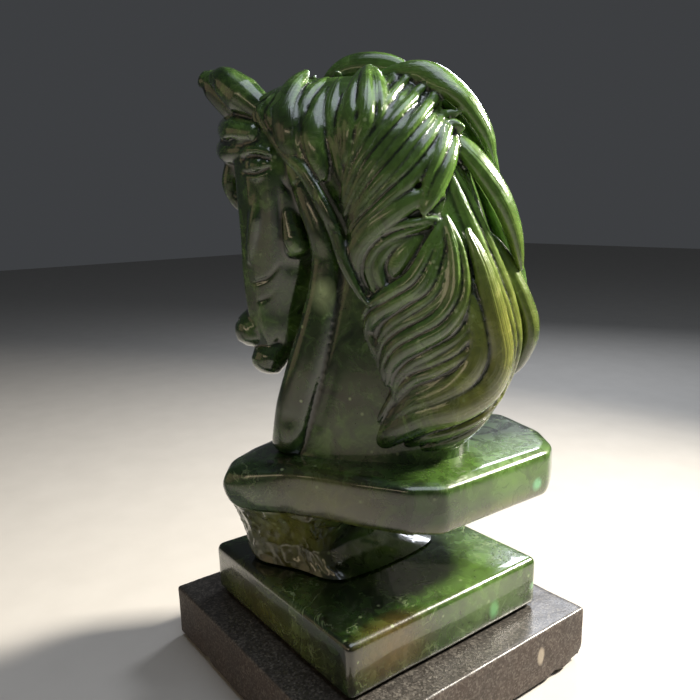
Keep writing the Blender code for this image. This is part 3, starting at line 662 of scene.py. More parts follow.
def press(obj, strokes):
    """Presses a round tool into the surface along each path: world points in millimetres."""
    points = read_vertices(obj)
    normals = read_vertices(obj, "normal")
    for path, radius, depth in strokes:
        path = np.array([tuple(p) for p in path]) * MM
        near = np.full(len(points), 1e9)
        for p in path:
            near = np.minimum(near, ((points - p) ** 2).sum(1))
        reach = (radius * MM) ** 2
        points -= normals * (depth * MM * np.exp(-1.2 * near / reach))[:, None]
    write_points(obj, points)


def roughen(obj, amount, size, seed):
    """Low waves all over the surface, as a hand-held polisher leaves them."""
    points = read_vertices(obj)
    normals = read_vertices(obj, "normal")
    scale = 1 / (size * MM)
    waves = np.array([noise.noise(Vector(p) * scale + Vector((seed, 0, 0))) for p in points])
    write_points(obj, points + normals * (waves * amount * MM)[:, None])


def trim_triangles(obj):
    obj.data.calc_loop_triangles()
    count = len(obj.data.loop_triangles)
    if count > MOST_TRIANGLES:
        add_modifier(obj, "DECIMATE", ratio=MOST_TRIANGLES / count)
        apply_modifiers(obj)


def mirrored(rows):
    """Each row of a table of paths, for both sides of the face."""
    return [
        ([(ahead, side * aside, height) for ahead, aside, height in points], *sizes)
        for points, *sizes in rows
        for side in (1, -1)
    ]


def make_head_and_neck(detail):
    """The head and neck, their forms fused and then the hollows pressed in."""
    bm = bmesh.new()
    add_upright_form(bm, NECK, NECK_SQUARENESS)
    add_head(bm)
    for points, radii in LIMBS:
        add_limb(bm, points, radii)
    for points, radii in mirrored(FACE_FORMS):
        add_limb(bm, [head_to_horse(*p) for p in points], radii)
    obj = new_object("head_and_neck", bm)
    fuse(obj, detail, HEAD_POLISH)
    strokes = [
        ([carved(*p) for p in smooth_path(points, STROKE_SAMPLES)], radius, depth)
        for points, radius, depth in HOLLOWS
    ]
    strokes += [
        ([carved(*head_to_horse(*p)) for p in smooth_path(points, STROKE_SAMPLES)], radius, depth)
        for points, radius, depth in mirrored(FACE_HOLLOWS)
    ]
    press(obj, strokes)
    return obj


def comb(obj, combed):
    """Writes where each place lies in its lock: millimetres across, along, and the lock's number."""
    points = read_vertices(obj) / MM
    nearest = np.full(len(points), 1e9)
    hair = np.zeros((len(points), 3))
    for number, (centres, acrosses, widths, half_width) in enumerate(combed):
        reach = half_width * 2.5
        inside = (points > centres.min(0) - reach).all(1) & (points < centres.max(0) + reach).all(1)
        chosen = np.nonzero(inside)[0]
        offsets = points[chosen][:, None] - centres[None]
        far = (offsets ** 2).sum(2)
        ring = far.argmin(1)
        rows = np.arange(len(chosen))
        share = np.sqrt(far[rows, ring]) / widths[ring]
        across = (offsets[rows, ring] * acrosses[ring]).sum(1) / widths[ring]
        closer = share < nearest[chosen]
        taken = chosen[closer]
        nearest[taken] = share[closer]
        hair[taken, 0] = np.clip(across[closer], -1.3, 1.3) * half_width
        hair[taken, 1] = ring[closer]
        hair[taken, 2] = number * LOCK_SPACING
    attribute = obj.data.attributes.new("hair", "FLOAT_VECTOR", "POINT")
    attribute.data.foreach_set("vector", hair.astype(np.float32).ravel())


def mark_creases(obj):
    """Writes how deep each place lies below its surroundings, in millimetres, which the stone's material
    turns into painted shade in the creases.
    """
    a, b = read_edges(obj)
    count = len(obj.data.vertices)
    ways = np.maximum(np.bincount(a, minlength=count) + np.bincount(b, minlength=count), 1)
    points = read_vertices(obj)
    smooth = points.copy()
    for _ in range(CREASE_ROUNDS):
        smooth = np.stack([
            (np.bincount(a, smooth[b, k], count) + np.bincount(b, smooth[a, k], count)) / ways
            for k in range(3)
        ], axis=1)
    depth = ((smooth - points) * read_vertices(obj, "normal")).sum(1) / MM
    attribute = obj.data.attributes.new("crease", "FLOAT", "POINT")
    attribute.data.foreach_set("value", np.clip(depth, -2, 2).astype(np.float32))


def make_mane(name, side, locks, crest, detail, groove):
    """One half of the mane, on the horse's left or right: its body with every lock fused to it."""
    bm = bmesh.new()
    combed = []
    add_upright_form(bm, MANE, MANE_SQUARENESS, side)
    for points, half_width, lift, strands in locks:
        path = [on_mane(*p, side) if len(p) == 2 else Vector(p) for p in points]
        combed.append(add_lock(bm, path, half_width, lift, strands, groove))
    for points, half_width, strands in crest:
        combed.append(add_lock(bm, points, half_width, 0, strands, groove))
    obj = new_object(name, bm)
    fuse(obj, detail, MANE_POLISH)
    trim_triangles(obj)
    comb(obj, combed)
    mark_creases(obj)
    return obj


def rounded_slab_outline(samples):
    """The slab's outline, with a short curve in place of each corner."""
    corners = [Vector(c) for c in SLAB_OUTLINE]
    outline = []
    count = len(corners)
    for i, corner in enumerate(corners):
        before, after = corners[i - 1], corners[(i + 1) % count]
        reach = min(SLAB_ROUNDING, (before - corner).length / 2.2, (after - corner).length / 2.2)
        start = corner + (before - corner).normalized() * reach
        end = corner + (after - corner).normalized() * reach
        for step in range(samples):
            t = step / (samples - 1)
            outline.append(start * (1 - t) ** 2 + corner * 2 * t * (1 - t) + end * t * t)
    return outline


def make_slab():
    """The slab under the neck: upright at the back, drawn in below like a bull nose at the front."""
    outline = rounded_slab_outline(5)
    fine = []
    for a, b in zip(outline, outline[1:] + outline[:1]):
        steps = max(1, round((b - a).length / SLAB_STEP))
        fine += [a.lerp(b, k / steps) for k in range(steps)]
    middle = Vector(SLAB_MIDDLE)
    rings = []
    for share, inset, nose_inset in smooth_table(SLAB_PROFILE, 5):
        ring = []
        for corner in fine:
            reach = Vector((corner.x, corner.y, 0)).dot(FORWARD)
            nose = min(max((reach - SLAB_NOSE[0]) / (SLAB_NOSE[1] - SLAB_NOSE[0]), 0), 1)
            flat = corner - (corner - middle).normalized() * (inset + nose_inset * nose)
            ring.append(Vector((
                flat.x * CARVING, flat.y * CARVING, SLAB_BOTTOM + share * SLAB_THICKNESS
            )))
        rings.append(ring)

    def flat_rings(ring, height, shares):
        centre = Vector((*SLAB_MIDDLE, height))
        return [
            [Vector((p.x, p.y, height)).lerp(centre, 1 - share) for p in ring] for share in shares
        ]

    bottom = flat_rings(rings[0], SLAB_BOTTOM, SLAB_BOTTOM_RINGS)
    top = flat_rings(rings[-1], SLAB_TOP, SLAB_TOP_RINGS)
    bm = bmesh.new()
    add_closed_loft(bm, bottom + rings + top)
    obj = new_object("slab", bm)
    for node in ("rod_insert", "bust_locating_pin"):
        drill(obj, *hole_round(node, CLOSE_FIT))
    return obj


class FIGURINE_OT_carving(Operator):
    """Carves the horse's head and neck, its mane and the slab that they stand on"""
    bl_idname = "figurine.carving"
    bl_label = "Carve the bust"

    def execute(self, context):
        settings = context.scene.figurine_nephrite
        jade = nephrite_material("Nephrite jade, carved and polished", settings, CARVING_TONES)
        head = make_head_and_neck(settings.detail)
        trim_triangles(head)
        mark_creases(head)
        groove = settings.strand_depth / MM
        left_crest = [row for row in CREST_LOCKS if row[0][-1][1] >= 0]
        right_crest = [row for row in CREST_LOCKS if row[0][-1][1] < 0]
        manes = [
            make_mane("mane_left", 1, LEFT_LOCKS, left_crest, settings.detail, groove),
            make_mane("mane_right", -1, RIGHT_LOCKS, right_crest, settings.detail, groove),
        ]
        slab = make_slab()
        finish_piece(head, jade, "bust_nephrite", "horse_bust")
        for mane in manes:
            finish_piece(mane, jade, "bust_nephrite", "horse_bust")
        slab_jade = nephrite_material("Nephrite jade slab, polished", settings, SLAB_TONES)
        finish_piece(slab, slab_jade, "bust_nephrite", "horse_bust", smooth=50)
        return {"FINISHED"}


# ---------------------------------------------------------------- stem, base and plinth

def stem_outline(which, samples):
    """The stem's outline at a level: 0 is the foot, 1 the waist and 2 the crown."""
    drawn = [STEM_FOOT, STEM_WAIST, STEM_CROWN]
    low = min(int(which), 1)
    corners = [
        Vector(a).lerp(Vector(b), which - low) for a, b in zip(drawn[low], drawn[low + 1])
    ]
    curve = smooth_path(corners[-1:] + corners + corners[:2], samples)
    return curve[samples:-samples - 1]


def make_stem():
    """A rocky column, broad at the foot, with ridges that lean as they climb."""
    height = (STEM_HIGH.z - STEM_LOW.z) / MM
    bm = bmesh.new()
    rings = []
    for level in range(STEM_RINGS + 1):
        t = level / STEM_RINGS
        which = float(np.interp(t, [a for a, _ in STEM_LEVELS], [b for _, b in STEM_LEVELS]))
        outline = stem_outline(which, STEM_SAMPLES)
        middle = sum(outline, Vector((0, 0))) / len(outline)
        rough = min(1.0, 12 * t, 12 * (1 - t))
        ring = []
        for k, point in enumerate(outline):
            angle = 2 * math.pi * k / len(outline)
            ridge = sum(
                rise * (0.6 - abs(math.sin(count * angle + lean * t + turn)))
                for rise, count, lean, turn in STEM_RIDGES
            )
            place = Vector((math.cos(angle) * 2.2, math.sin(angle) * 2.2, t * 0.9))
            crags = noise.ridged_multi_fractal(place * 2.2, 0.9, 2.1, 4, 1.0, 2.0)
            fine = noise.noise(place * 9 + Vector((4, 1, 0)))
            grow = 1 + rough * (ridge + 0.030 * (crags - 1.2) + 0.012 * fine)
            flat = middle + (point - middle) * grow
            ring.append(Vector((flat.x, flat.y, STEM_LOW.z / MM + t * height)))
        rings.append(ring)
    add_closed_loft(bm, rings)
    obj = new_object("rocky_stem", bm)
    drill(obj, *hole_round("tie_rod", LOOSE_FIT))
    for node in ("stem_locating_pin", "bust_locating_pin"):
        drill(obj, *hole_round(node, CLOSE_FIT))
    return obj


def make_block(name, low, high, edge, segments, step):
    """A square block with rounded edges and a fine grid on its faces, from low to high."""
    deselect()
    size = high - low
    bpy.ops.mesh.primitive_cube_add(size=1, location=(low + high) / 2)
    obj = bpy.context.active_object
    obj.name = name
    obj.scale = size
    bpy.ops.object.transform_apply(location=True, rotation=True, scale=True)
    bpy.ops.object.mode_set(mode="EDIT")
    bpy.ops.mesh.select_all(action="SELECT")
    bpy.ops.mesh.bevel(offset=edge * MM, segments=segments, affect="EDGES")
    bpy.ops.object.mode_set(mode="OBJECT")
    bm = bmesh.new()
    bm.from_mesh(obj.data)
    for axis in range(3):
        count = max(2, round(size[axis] / (step * MM)))
        for k in range(1, count):
            where = Vector((0, 0, 0))
            where[axis] = low[axis] + edge * MM + (size[axis] - 2 * edge * MM) * k / count
            normal = Vector((0, 0, 0))
            normal[axis] = 1
            geom = bm.verts[:] + bm.edges[:] + bm.faces[:]
            bmesh.ops.bisect_plane(bm, geom=geom, plane_co=where, plane_no=normal, dist=1e-7)
    bm.to_mesh(obj.data)
    bm.free()
    return obj


class FIGURINE_OT_stem(Operator):
    """Carves the rocky stem"""
    bl_idname = "figurine.stem"
    bl_label = "Carve the stem"

    def execute(self, context):
        settings = context.scene.figurine_nephrite
        jade = nephrite_material("Nephrite jade stem, rough carved", settings, STEM_TONES)
        finish_piece(make_stem(), jade, "stem_nephrite", "carved_stem", smooth=60)
        return {"FINISHED"}


class FIGURINE_OT_base(Operator):
    """Cuts and polishes the square jade base"""
    bl_idname = "figurine.base"
    bl_label = "Cut the jade base"

    def execute(self, context):
        settings = context.scene.figurine_nephrite
        jade = nephrite_material("Nephrite jade base, polished", settings, BASE_TONES)
        base = make_block("square_base", BASE_LOW, BASE_HIGH, edge=3.5, segments=6, step=3.0)
        roughen(base, amount=0.35, size=26, seed=3)
        for node in ("tie_rod", "stem_locating_pin", "base_locating_pin_1", "base_locating_pin_2"):
            drill(base, *hole_round(node, LOOSE_FIT))
        finish_piece(base, jade, "base_nephrite", "jade_base", smooth=50)
        return {"FINISHED"}


# Chips along the plinth's edges: position as a share of the half side, height share, radius, depth
PLINTH_CHIPS = [
    ((1.0, 0.62, 0.42), 2.2, 1.0), ((1.0, 0.98, 0.02), 4.0, 2.2), ((1.0, 0.9, 0.0), 4.0, 1.4),
    ((1.0, 0.72, 0.0), 3.0, 1.0), ((0.3, -1.0, 0.0), 4.0, 1.4), ((-0.55, -1.0, 0.0), 3.0, 1.0),
    ((-1.0, 0.4, 0.0), 4.0, 1.2), ((0.98, -0.35, 0.0), 3.0, 0.9),
]


class FIGURINE_OT_plinth(Operator):
    """Saws and hones the stone plinth"""
    bl_idname = "figurine.plinth"
    bl_label = "Cut the plinth"

    def execute(self, context):
        stone = plinth_material(context.scene.figurine_plinth)
        plinth = make_block(
            "granite_plinth", PLINTH_LOW, PLINTH_HIGH, edge=1.6, segments=5, step=2.5
        )
        roughen(plinth, amount=0.25, size=9, seed=8)
        middle = (PLINTH_LOW + PLINTH_HIGH) / 2
        half = (PLINTH_HIGH - PLINTH_LOW) / 2
        chips = [
            ([Vector((middle.x + x * half.x, middle.y + y * half.y,
                      PLINTH_LOW.z + z * 2 * half.z)) / MM], radius, depth)
            for (x, y, z), radius, depth in PLINTH_CHIPS
        ]
        press(plinth, chips)
        drill(plinth, *hole_round("tie_rod", LOOSE_FIT))
        # counterbore for the washer and nut, open below
        diameter, _, top, x, y = hole_round("rod_washer", WASHER_FIT)
        top -= (HOLE_OVERRUN - WASHER_HEADROOM) * MM
        drill(plinth, diameter, PLINTH_LOW.z - HOLE_OVERRUN * MM, top, x, y)
        for node in ("base_locating_pin_1", "base_locating_pin_2"):
            drill(plinth, *hole_round(node, CLOSE_FIT))
        finish_piece(plinth, stone, "plinth_stone", "stone_plinth", smooth=40)
        return {"FINISHED"}


# ---------------------------------------------------------------- materials

def add_node(tree, kind, inputs=None, **settings):
    """Adds a shader node with its settings, and its inputs as values or as links."""
    node = tree.nodes.new(kind)
    for name, value in settings.items():
        setattr(node, name, value)
    for key, value in (inputs or {}).items():
        if isinstance(value, bpy.types.NodeSocket):
            tree.links.new(value, node.inputs[key])
        else:
            node.inputs[key].default_value = value
    return node


def new_material(name, **shader_values):
    """A material with its tree, its shader and the object's own coordinates."""
    material = bpy.data.materials.new(name)
    material.use_nodes = True
    tree = material.node_tree
    shader = tree.nodes["Principled BSDF"]
    for key, value in shader_values.items():
        shader.inputs[key.replace("_", " ")].default_value = value
    return material, tree, shader, add_node(tree, "ShaderNodeTexCoord").outputs["Object"]


def wire(tree, shader, **results):
    """Links each result to the shader's input of that name."""
    for name, result in results.items():
        tree.links.new(result, shader.inputs[name.replace("_", " ")])


def ramp(tree, factor, *stops):
    """Colour ramp from (position, colour) stops."""
    node = add_node(tree, "ShaderNodeValToRGB", {"Fac": factor})
    elements = node.color_ramp.elements
    while len(elements) < len(stops):
        elements.new(0.5)
    for element, (position, value) in zip(elements, stops):
        element.position = position
        element.color = value
    return node.outputs["Color"]


def grey(value):
    return (value, value, value, 1.0)


def blend_colours(tree, factor, first, second, kind="MIX"):
    node = add_node(tree, "ShaderNodeMix", data_type="RGBA", blend_type=kind)
    for socket, value in ((node.inputs[0], factor), (node.inputs[6], first), (node.inputs[7], second)):
        if isinstance(value, bpy.types.NodeSocket):
            tree.links.new(value, socket)
        else:
            socket.default_value = value
    return node.outputs[2]


def cloud(tree, place, size, detail=4.0, rough=0.55, twist=0.0):
    """Noise whose clouds measure about size millimetres."""
    return add_node(tree, "ShaderNodeTexNoise", {
        "Vector": place, "Scale": 1 / (size * MM), "Detail": detail, "Roughness": rough,
        "Distortion": twist,
    }).outputs["Fac"]


def zone(tree, place, centre, radii):
    """1 at the centre of an ellipsoid and 0 at its skin: centre and radii in millimetres."""
    moved = add_node(tree, "ShaderNodeMapping", {
        "Vector": place,
        "Location": tuple(-c / r for c, r in zip(centre, radii)),
        "Scale": tuple(1 / (r * MM) for r in radii),
    })
    return add_node(tree, "ShaderNodeTexGradient", {"Vector": moved.outputs[0]},
                    gradient_type="SPHERICAL").outputs["Fac"]


# Tones of each stone: zones of (colour, centre, radii, strength) over its clouds, and its polish. Each
# bright zone is partly the stone's clearer green and partly painted light, the glow through the stone
# where light falls from behind and the right.
CARVING_TONES = {
    "zones": [
        # painted light: the two bright zones paint glow through the stone on the crest and the back of the
        # mane, over its clearer green
        ("bright", (18, 12, 285), (66, 66, 56), 0.8),
        ("bright", (45, 20, 225), (44, 64, 80), 0.9),
        ("olive", (68, 26, 185), (22, 36, 60), 0.7),
        ("olive", (60, 10, 150), (20, 36, 32), 0.6),
        ("pale", (6, -29, 194), (7, 7, 10), 0.9),
    ],
    "lightness": 0.5, "roughness": 0.19, "veins": 0.25,
}
SLAB_TONES = {
    "zones": [
        # painted light: the bright zone paints the glow below the top edge of the slab's right side, over
        # its clearer green
        ("bright", (60, 30, 110), (34, 60, 22), 0.7),
        ("mint", (67, 49, 101), (4, 4, 4), 1.6),
        ("olive", (60, 20, 90), (50, 60, 12), 0.8),
        ("olive", (30, -45, 103), (50, 22, 20), 0.4),
    ],
    "lightness": 0.35, "roughness": 0.22, "veins": 0.5,
}
STEM_TONES = {
    "zones": [
        # painted light: the bright zone brightens the right side of the stem's foot, over its clearer
        # green
        ("olive", (-10, -46, 76), (40, 24, 34), 0.6), ("bright", (10, 10, 66), (20, 40, 14), 0.8),
    ],
    "lightness": 0.36, "roughness": 0.24, "veins": 0.9,
}
BASE_TONES = {
    "zones": [
        ("brown", (62, -36, 46), (16, 30, 20), 0.9),
        ("mint", (61, 28, 40), (5, 4, 6), 1.6),
        ("mint", (61, 57, 42), (3, 3, 3), 1.6),
        # painted light: the bright zone paints the glow of the lit right and back of the base, over its
        # clearer green
        ("bright", (44, 26, 50), (50, 56, 26), 0.7),
        ("olive", (-10, -60, 40), (70, 8, 22), 0.4),
    ],
    "lightness": 0.33, "roughness": 0.2, "veins": 1.0,
}
BROWN = "#5A4A20"  # brown on the near end of the base's right face
PALE = "#A9B98A"  # pale veins and specks
MINT = "#6FB07C"  # clear blue-green spots


def nephrite_material(name, settings, tones):
    """Nephrite jade, cut with diamond and polished by hand: dense green stone, clouded, a little
    translucent at its edges, with pale veins, dark specks and a wet gloss."""
    material, tree, shader, place = new_material(
        name, IOR=1.61, Subsurface_Weight=0.18, Subsurface_Scale=0.0035,
        Subsurface_Radius=(0.6, 1.0, 0.25), Coat_Weight=0.8, Coat_Roughness=0.03,
    )
    big = cloud(tree, place, 55, 5, 0.6, 0.6)
    small = cloud(tree, place, 9, 6, 0.62, 0.8)
    clouds = add_node(tree, "ShaderNodeMath", {0: big, 1: small}, operation="ADD").outputs[0]
    lightness = tones["lightness"]
    body = ramp(
        tree, add_node(tree, "ShaderNodeMath", {0: clouds, 1: 0.5}, operation="MULTIPLY").outputs[0],
        (0.62 - 0.5 * lightness, tuple(settings.dark)),
        (0.78 - 0.5 * lightness, tuple(settings.green)),
        (0.96 - 0.5 * lightness, tuple(settings.bright)),
    )
    named = {
        "bright": tuple(settings.bright), "olive": tuple(settings.olive), "brown": linear(BROWN),
        "pale": linear(PALE), "mint": linear(MINT),
    }
    for key, centre, radii, strength in tones["zones"]:
        spread = zone(tree, place, centre, radii)
        patchy = add_node(tree, "ShaderNodeMath", {0: small, 1: spread}, operation="MULTIPLY")
        gain = add_node(tree, "ShaderNodeMath", {0: patchy.outputs[0], 1: 2.2 * strength},
                        operation="MULTIPLY", use_clamp=True)
        body = blend_colours(tree, gain.outputs[0], body, named[key])
    # pale veins along thin bands of a stretched noise
    vein_noise = cloud(tree, place, 30, 5, 0.6, 1.4)
    vein = ramp(tree, vein_noise, (0.485, grey(0)), (0.5, grey(1)), (0.515, grey(0)))
    patches = ramp(tree, big, (0.5, grey(0)), (0.62, grey(0.55 * tones["veins"])))
    vein_share = blend_colours(tree, 1.0, vein, patches, "MULTIPLY")
    body = blend_colours(tree, vein_share, body, linear(PALE))
    # hair: fine strands bumped along each lock, and painted shade darkening the creases between the locks
    hair = add_node(tree, "ShaderNodeAttribute", attribute_name="hair").outputs["Vector"]
    along = add_node(tree, "ShaderNodeMapping", {"Vector": hair, "Scale": (0.75, 0.03, 1)})
    strands = add_node(tree, "ShaderNodeTexNoise", {
        "Vector": along.outputs[0], "Scale": 1.0, "Detail": 2.0, "Roughness": 0.5,
    }).outputs["Fac"]
    crease = add_node(tree, "ShaderNodeAttribute", attribute_name="crease").outputs["Fac"]
    # painted shade: the deeper a place lies in a crease, the more its colour turns to the dark green
    painted_crease_shade = ramp(tree, crease, (0.02, grey(0)), (0.36, grey(0.92)))
    body = blend_colours(tree, painted_crease_shade, body, tuple(settings.dark))
    # dark grains and a few pale flecks
    grains = add_node(tree, "ShaderNodeTexVoronoi", {"Vector": place, "Scale": 1 / (3.2 * MM)})
    dark_grain = ramp(tree, grains.outputs["Distance"], (0.05, grey(0.35)), (0.17, grey(0)))
    body = blend_colours(tree, dark_grain, body, tuple(settings.dark))
    flecks = add_node(tree, "ShaderNodeTexVoronoi", {"Vector": place, "Scale": 1 / (11 * MM)})
    pale_fleck = ramp(tree, flecks.outputs["Distance"], (0.04, grey(0.5)), (0.1, grey(0)))
    body = blend_colours(tree, pale_fleck, body, linear(PALE))
    # polish: nearly wet, duller where the stone is softer
    rough = tones["roughness"]
    gloss = ramp(tree, small, (0.35, grey(rough)), (0.7, grey(rough + 0.12)))
    pits = cloud(tree, place, 1.1, 3, 0.6)
    waves = cloud(tree, place, 7, 2, 0.5)
    combed = add_node(tree, "ShaderNodeBump", {
        "Height": strands, "Strength": 0.55, "Distance": 0.8 * MM,
    })
    first = add_node(tree, "ShaderNodeBump", {
        "Height": waves, "Strength": 0.12, "Distance": 1.2 * MM, "Normal": combed.outputs[0],
    })
    bump = add_node(tree, "ShaderNodeBump", {
        "Height": pits, "Strength": 0.16, "Distance": 0.3 * MM, "Normal": first.outputs[0],
    })
    wire(tree, shader, Base_Color=body, Roughness=gloss, Normal=bump.outputs[0])
    return material


def plinth_material(settings):
    """Fine dark granite, its top honed and its sides left from the saw: grey speckle above, brown
    and matt at the sides."""
    material, tree, shader, place = new_material("Granite, honed top and sawn sides", IOR=1.54)
    facing = add_node(tree, "ShaderNodeNewGeometry").outputs["Normal"]
    split = add_node(tree, "ShaderNodeSeparateXYZ", {0: facing}).outputs["Z"]
    top = ramp(tree, split, (0.35, grey(0)), (0.8, grey(1)))
    ground = blend_colours(tree, top, tuple(settings.sawn), tuple(settings.honed))
    patches = cloud(tree, place, 18, 5, 0.6)
    ground = blend_colours(tree, ramp(tree, patches, (0.4, grey(0)), (0.7, grey(0.5))), ground,
                           linear("#2C2621"))
    grain = add_node(tree, "ShaderNodeTexVoronoi", {"Vector": place, "Scale": 1 / (0.9 * MM)})
    speckle = ramp(tree, grain.outputs["Color"], (0.25, linear("#1C1A18")), (0.6, linear("#5A5550")),
                   (0.97, linear("#9C968C")))
    ground = blend_colours(tree, 0.3, ground, speckle)
    # a chip that shows paler stone, low on one side
    chip = ramp(tree, zone(tree, place, (78, 43, 17), (5, 4, 7)), (0.2, grey(0)), (0.5, grey(0.9)))
    ground = blend_colours(tree, chip, ground, linear("#A89C8A"))
    rough = ramp(tree, top, (0.0, grey(0.62)), (1.0, grey(0.34)))
    level = add_node(tree, "ShaderNodeMapping", {"Vector": place, "Scale": (60, 60, 900)})
    saw = add_node(tree, "ShaderNodeTexNoise", {
        "Vector": level.outputs[0], "Scale": 1.0, "Detail": 3.0,
    }).outputs["Fac"]
    first = add_node(tree, "ShaderNodeBump", {"Height": saw, "Strength": 0.25, "Distance": 0.3 * MM})
    bump = add_node(tree, "ShaderNodeBump", {
        "Height": grain.outputs["Distance"], "Strength": 0.2, "Distance": 0.2 * MM,
        "Normal": first.outputs[0],
    })
    wire(tree, shader, Base_Color=ground, Roughness=rough, Normal=bump.outputs[0])
    return material


def steel_material():
    """Stainless steel bar, turned and drawn: grey metal with fine lines round it."""
    material, tree, shader, place = new_material("Stainless steel, turned", Metallic=1.0)
    lines = add_node(tree, "ShaderNodeMapping", {"Vector": place, "Scale": (80, 80, 2500)})
    fine = cloud(tree, lines.outputs[0], 1000, 2)
    tone = ramp(tree, fine, (0.3, linear("#9A9B9C")), (0.7, linear("#BDBEC0")))
    wire(tree, shader, Base_Color=tone, Roughness=ramp(tree, fine, (0.3, grey(0.22)), (0.7, grey(0.38))))
    return material


def brass_material():
    """Free-cutting brass, turned: warm yellow metal, slightly tarnished in clouds."""
    material, tree, shader, place = new_material("Brass, turned", Metallic=1.0)
    tarnish = cloud(tree, place, 6, 4)
    tone = ramp(tree, tarnish, (0.35, linear("#B08A45")), (0.65, linear("#D9B465")))
    wire(tree, shader, Base_Color=tone, Roughness=ramp(tree, tarnish, (0.3, grey(0.25)), (0.7, grey(0.4))))
    return material


def resin_material():
    """Filled epoxy, poured and set: near black, slightly shiny, with a faint grain."""
    material, tree, shader, place = new_material("Epoxy bedding, dark filled", IOR=1.5)
    grain = cloud(tree, place, 0.8, 3)
    tone = ramp(tree, grain, (0.3, linear("#12110E")), (0.7, linear("#2A2722")))
    wire(tree, shader, Base_Color=tone, Roughness=ramp(tree, grain, (0.3, grey(0.35)), (0.7, grey(0.55))))
    return material


def felt_material():
    """Pressed wool felt: dark green, matt, with short fibres and a soft sheen."""
    material, tree, shader, place = new_material("Wool felt, pressed", Sheen_Weight=0.4, Roughness=0.95)
    fibre = cloud(tree, place, 0.9, 6, 0.7, 1.5)
    tone = ramp(tree, fibre, (0.3, linear("#14261B")), (0.7, linear("#2A4433")))
    bump = add_node(tree, "ShaderNodeBump", {"Height": fibre, "Strength": 0.5, "Distance": 0.4 * MM})
    wire(tree, shader, Base_Color=tone, Normal=bump.outputs[0])
    return material


FIXINGS = {
    steel_material: ["tie_rod", "rod_washer", "rod_nut", "bust_locating_pin", "stem_locating_pin",
                     "base_locating_pin_1", "base_locating_pin_2"],
    brass_material: ["rod_insert"],
    resin_material: ["base_bedding", "stem_bedding", "bust_bedding"],
    felt_material: ["felt_sheet"],
}


class FIGURINE_OT_fixings(Operator):
    """Gives the rod, pins, beddings and felt their finishes"""
    bl_idname = "figurine.fixings"
    bl_label = "Finish the fixings"

    def execute(self, context):
        for make_material, nodes in FIXINGS.items():
            material = make_material()
            for node in nodes:
                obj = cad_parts[node]
                obj.data.materials.clear()
                obj.data.materials.append(material)
        return {"FINISHED"}


# ---------------------------------------------------------------- studio

CAMERA_TARGET = Vector((-5, -7, 164)) * MM
CAMERA_PLACE = Vector((268, -210, 234)) * MM
CAMERA_LENS = 36.15
CAMERA_TILT = math.radians(-1.46)
CAMERA_SENSOR = 36
FLOOR_SIDE = 6
FLOOR_MOTTLE = "#B6B3AD"
SURROUNDINGS = ("#A8ACB2", 0.12)  # colour and strength

# Lights, named as their settings: place, sides, tint, target and spread in degrees
LIGHTS = {
    "key": ((0.30, 0.66, 0.62), (0.12, 0.12), "#FFF6E8", CAMERA_TARGET, 80),
    "sky": ((0.30, 0.05, 1.0), (0.7, 0.7), "#E8F1FF", CAMERA_TARGET, 180),
    "bounce": ((0.28, -0.70, 0.36), (0.4, 0.3), "#FFE6C0", Vector((0.28, -0.68, 0)), 180),
    "rim": ((-0.34, 0.66, 0.60), (0.22, 0.22), "#F2F6FF", CAMERA_TARGET, 180),
    "fill": ((-0.35, -0.85, 0.35), (0.7, 0.5), "#D9BE96", CAMERA_TARGET, 180),
}


def aim(place, target, tilt=0.0):
    """Stands at a place, looks at the target and rolls by the tilt."""
    turn = (target - place).to_track_quat("-Z", "Y").to_matrix().to_4x4()
    return Matrix.Translation(place) @ turn @ Matrix.Rotation(tilt, 4, "Z")


def add_softbox(name, watts, place, size, tint, target, spread):
    """A rectangular studio light that doesn't show itself."""
    light = bpy.data.lights.new(name, "AREA")
    light.shape = "RECTANGLE"
    light.size, light.size_y = size
    light.energy = watts
    light.spread = math.radians(spread)
    light.color = linear(tint)[:3]
    obj = bpy.data.objects.new(name, light)
    bpy.context.scene.collection.objects.link(obj)
    obj.matrix_world = aim(Vector(place), target)
    obj.visible_camera = False


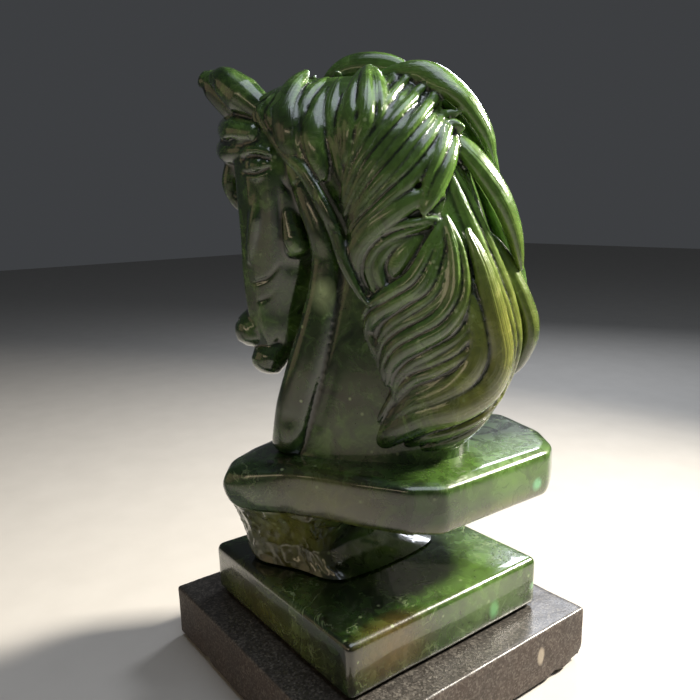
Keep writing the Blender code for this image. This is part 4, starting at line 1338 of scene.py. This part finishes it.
class FIGURINE_OT_stage(Operator):
    """Sets up the pale floor, the soft lights and the camera"""
    bl_idname = "figurine.stage"
    bl_label = "Set up the studio"

    def execute(self, context):
        settings = context.scene.figurine_studio
        scene = context.scene
        deselect()
        bpy.ops.mesh.primitive_plane_add(size=FLOOR_SIDE, location=(0, 0, 0))
        floor = context.active_object
        floor.name = "floor"
        # painted board, rolled: pale and matt, with a very faint mottle
        material, tree, shader, place = new_material("Painted board, matt", Roughness=0.8)
        mottle = cloud(tree, place, 30, 3)
        tone = ramp(tree, mottle, (0.2, linear(FLOOR_MOTTLE)), (0.8, tuple(settings.floor)))
        wire(tree, shader, Base_Color=tone)
        floor.data.materials.append(material)

        for name, light in LIGHTS.items():
            add_softbox(name, getattr(settings, name), *light)
        world = bpy.data.worlds.new("studio")
        scene.world = world
        world.use_nodes = True
        surroundings = world.node_tree.nodes["Background"]
        surroundings.inputs["Color"].default_value = linear(SURROUNDINGS[0])
        surroundings.inputs["Strength"].default_value = SURROUNDINGS[1]
        scene.view_settings.view_transform = "Standard"

        camera = bpy.data.objects.new("camera", bpy.data.cameras.new("camera"))
        scene.collection.objects.link(camera)
        scene.camera = camera
        camera.data.sensor_width = CAMERA_SENSOR
        camera.data.lens = CAMERA_LENS
        camera.matrix_world = aim(CAMERA_PLACE, CAMERA_TARGET, CAMERA_TILT)
        return {"FINISHED"}


class FIGURINE_PT_panel(Panel):
    """Steps of making the bust"""
    bl_label = "Horse bust"
    bl_idname = "FIGURINE_PT_panel"
    bl_space_type = "VIEW_3D"
    bl_region_type = "UI"
    bl_category = "Horse bust"

    def draw(self, context):
        for operator in STEPS:
            self.layout.operator(operator.bl_idname)
        for group in ("figurine_nephrite", "figurine_plinth", "figurine_studio"):
            settings = getattr(context.scene, group)
            for name in settings.__annotations__:
                self.layout.prop(settings, name)


STEPS = [
    FIGURINE_OT_carving, FIGURINE_OT_stem, FIGURINE_OT_base, FIGURINE_OT_plinth,
    FIGURINE_OT_fixings, FIGURINE_OT_stage,
]
GROUPS = {
    "figurine_nephrite": NephriteSettings,
    "figurine_plinth": PlinthSettings,
    "figurine_studio": StudioSettings,
}


def register():
    for group in GROUPS.values():
        bpy.utils.register_class(group)
    for name, group in GROUPS.items():
        setattr(bpy.types.Scene, name, PointerProperty(type=group))
    for step in STEPS + [FIGURINE_PT_panel]:
        bpy.utils.register_class(step)


def unregister():
    for step in reversed(STEPS + [FIGURINE_PT_panel]):
        bpy.utils.unregister_class(step)
    for name in GROUPS:
        delattr(bpy.types.Scene, name)
    for group in reversed(list(GROUPS.values())):
        bpy.utils.unregister_class(group)


def main():
    register()
    bpy.ops.figurine.carving()
    bpy.ops.figurine.stem()
    bpy.ops.figurine.base()
    bpy.ops.figurine.plinth()
    bpy.ops.figurine.fixings()
    bpy.ops.figurine.stage()
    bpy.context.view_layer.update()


if __name__ == "__main__":
    main()
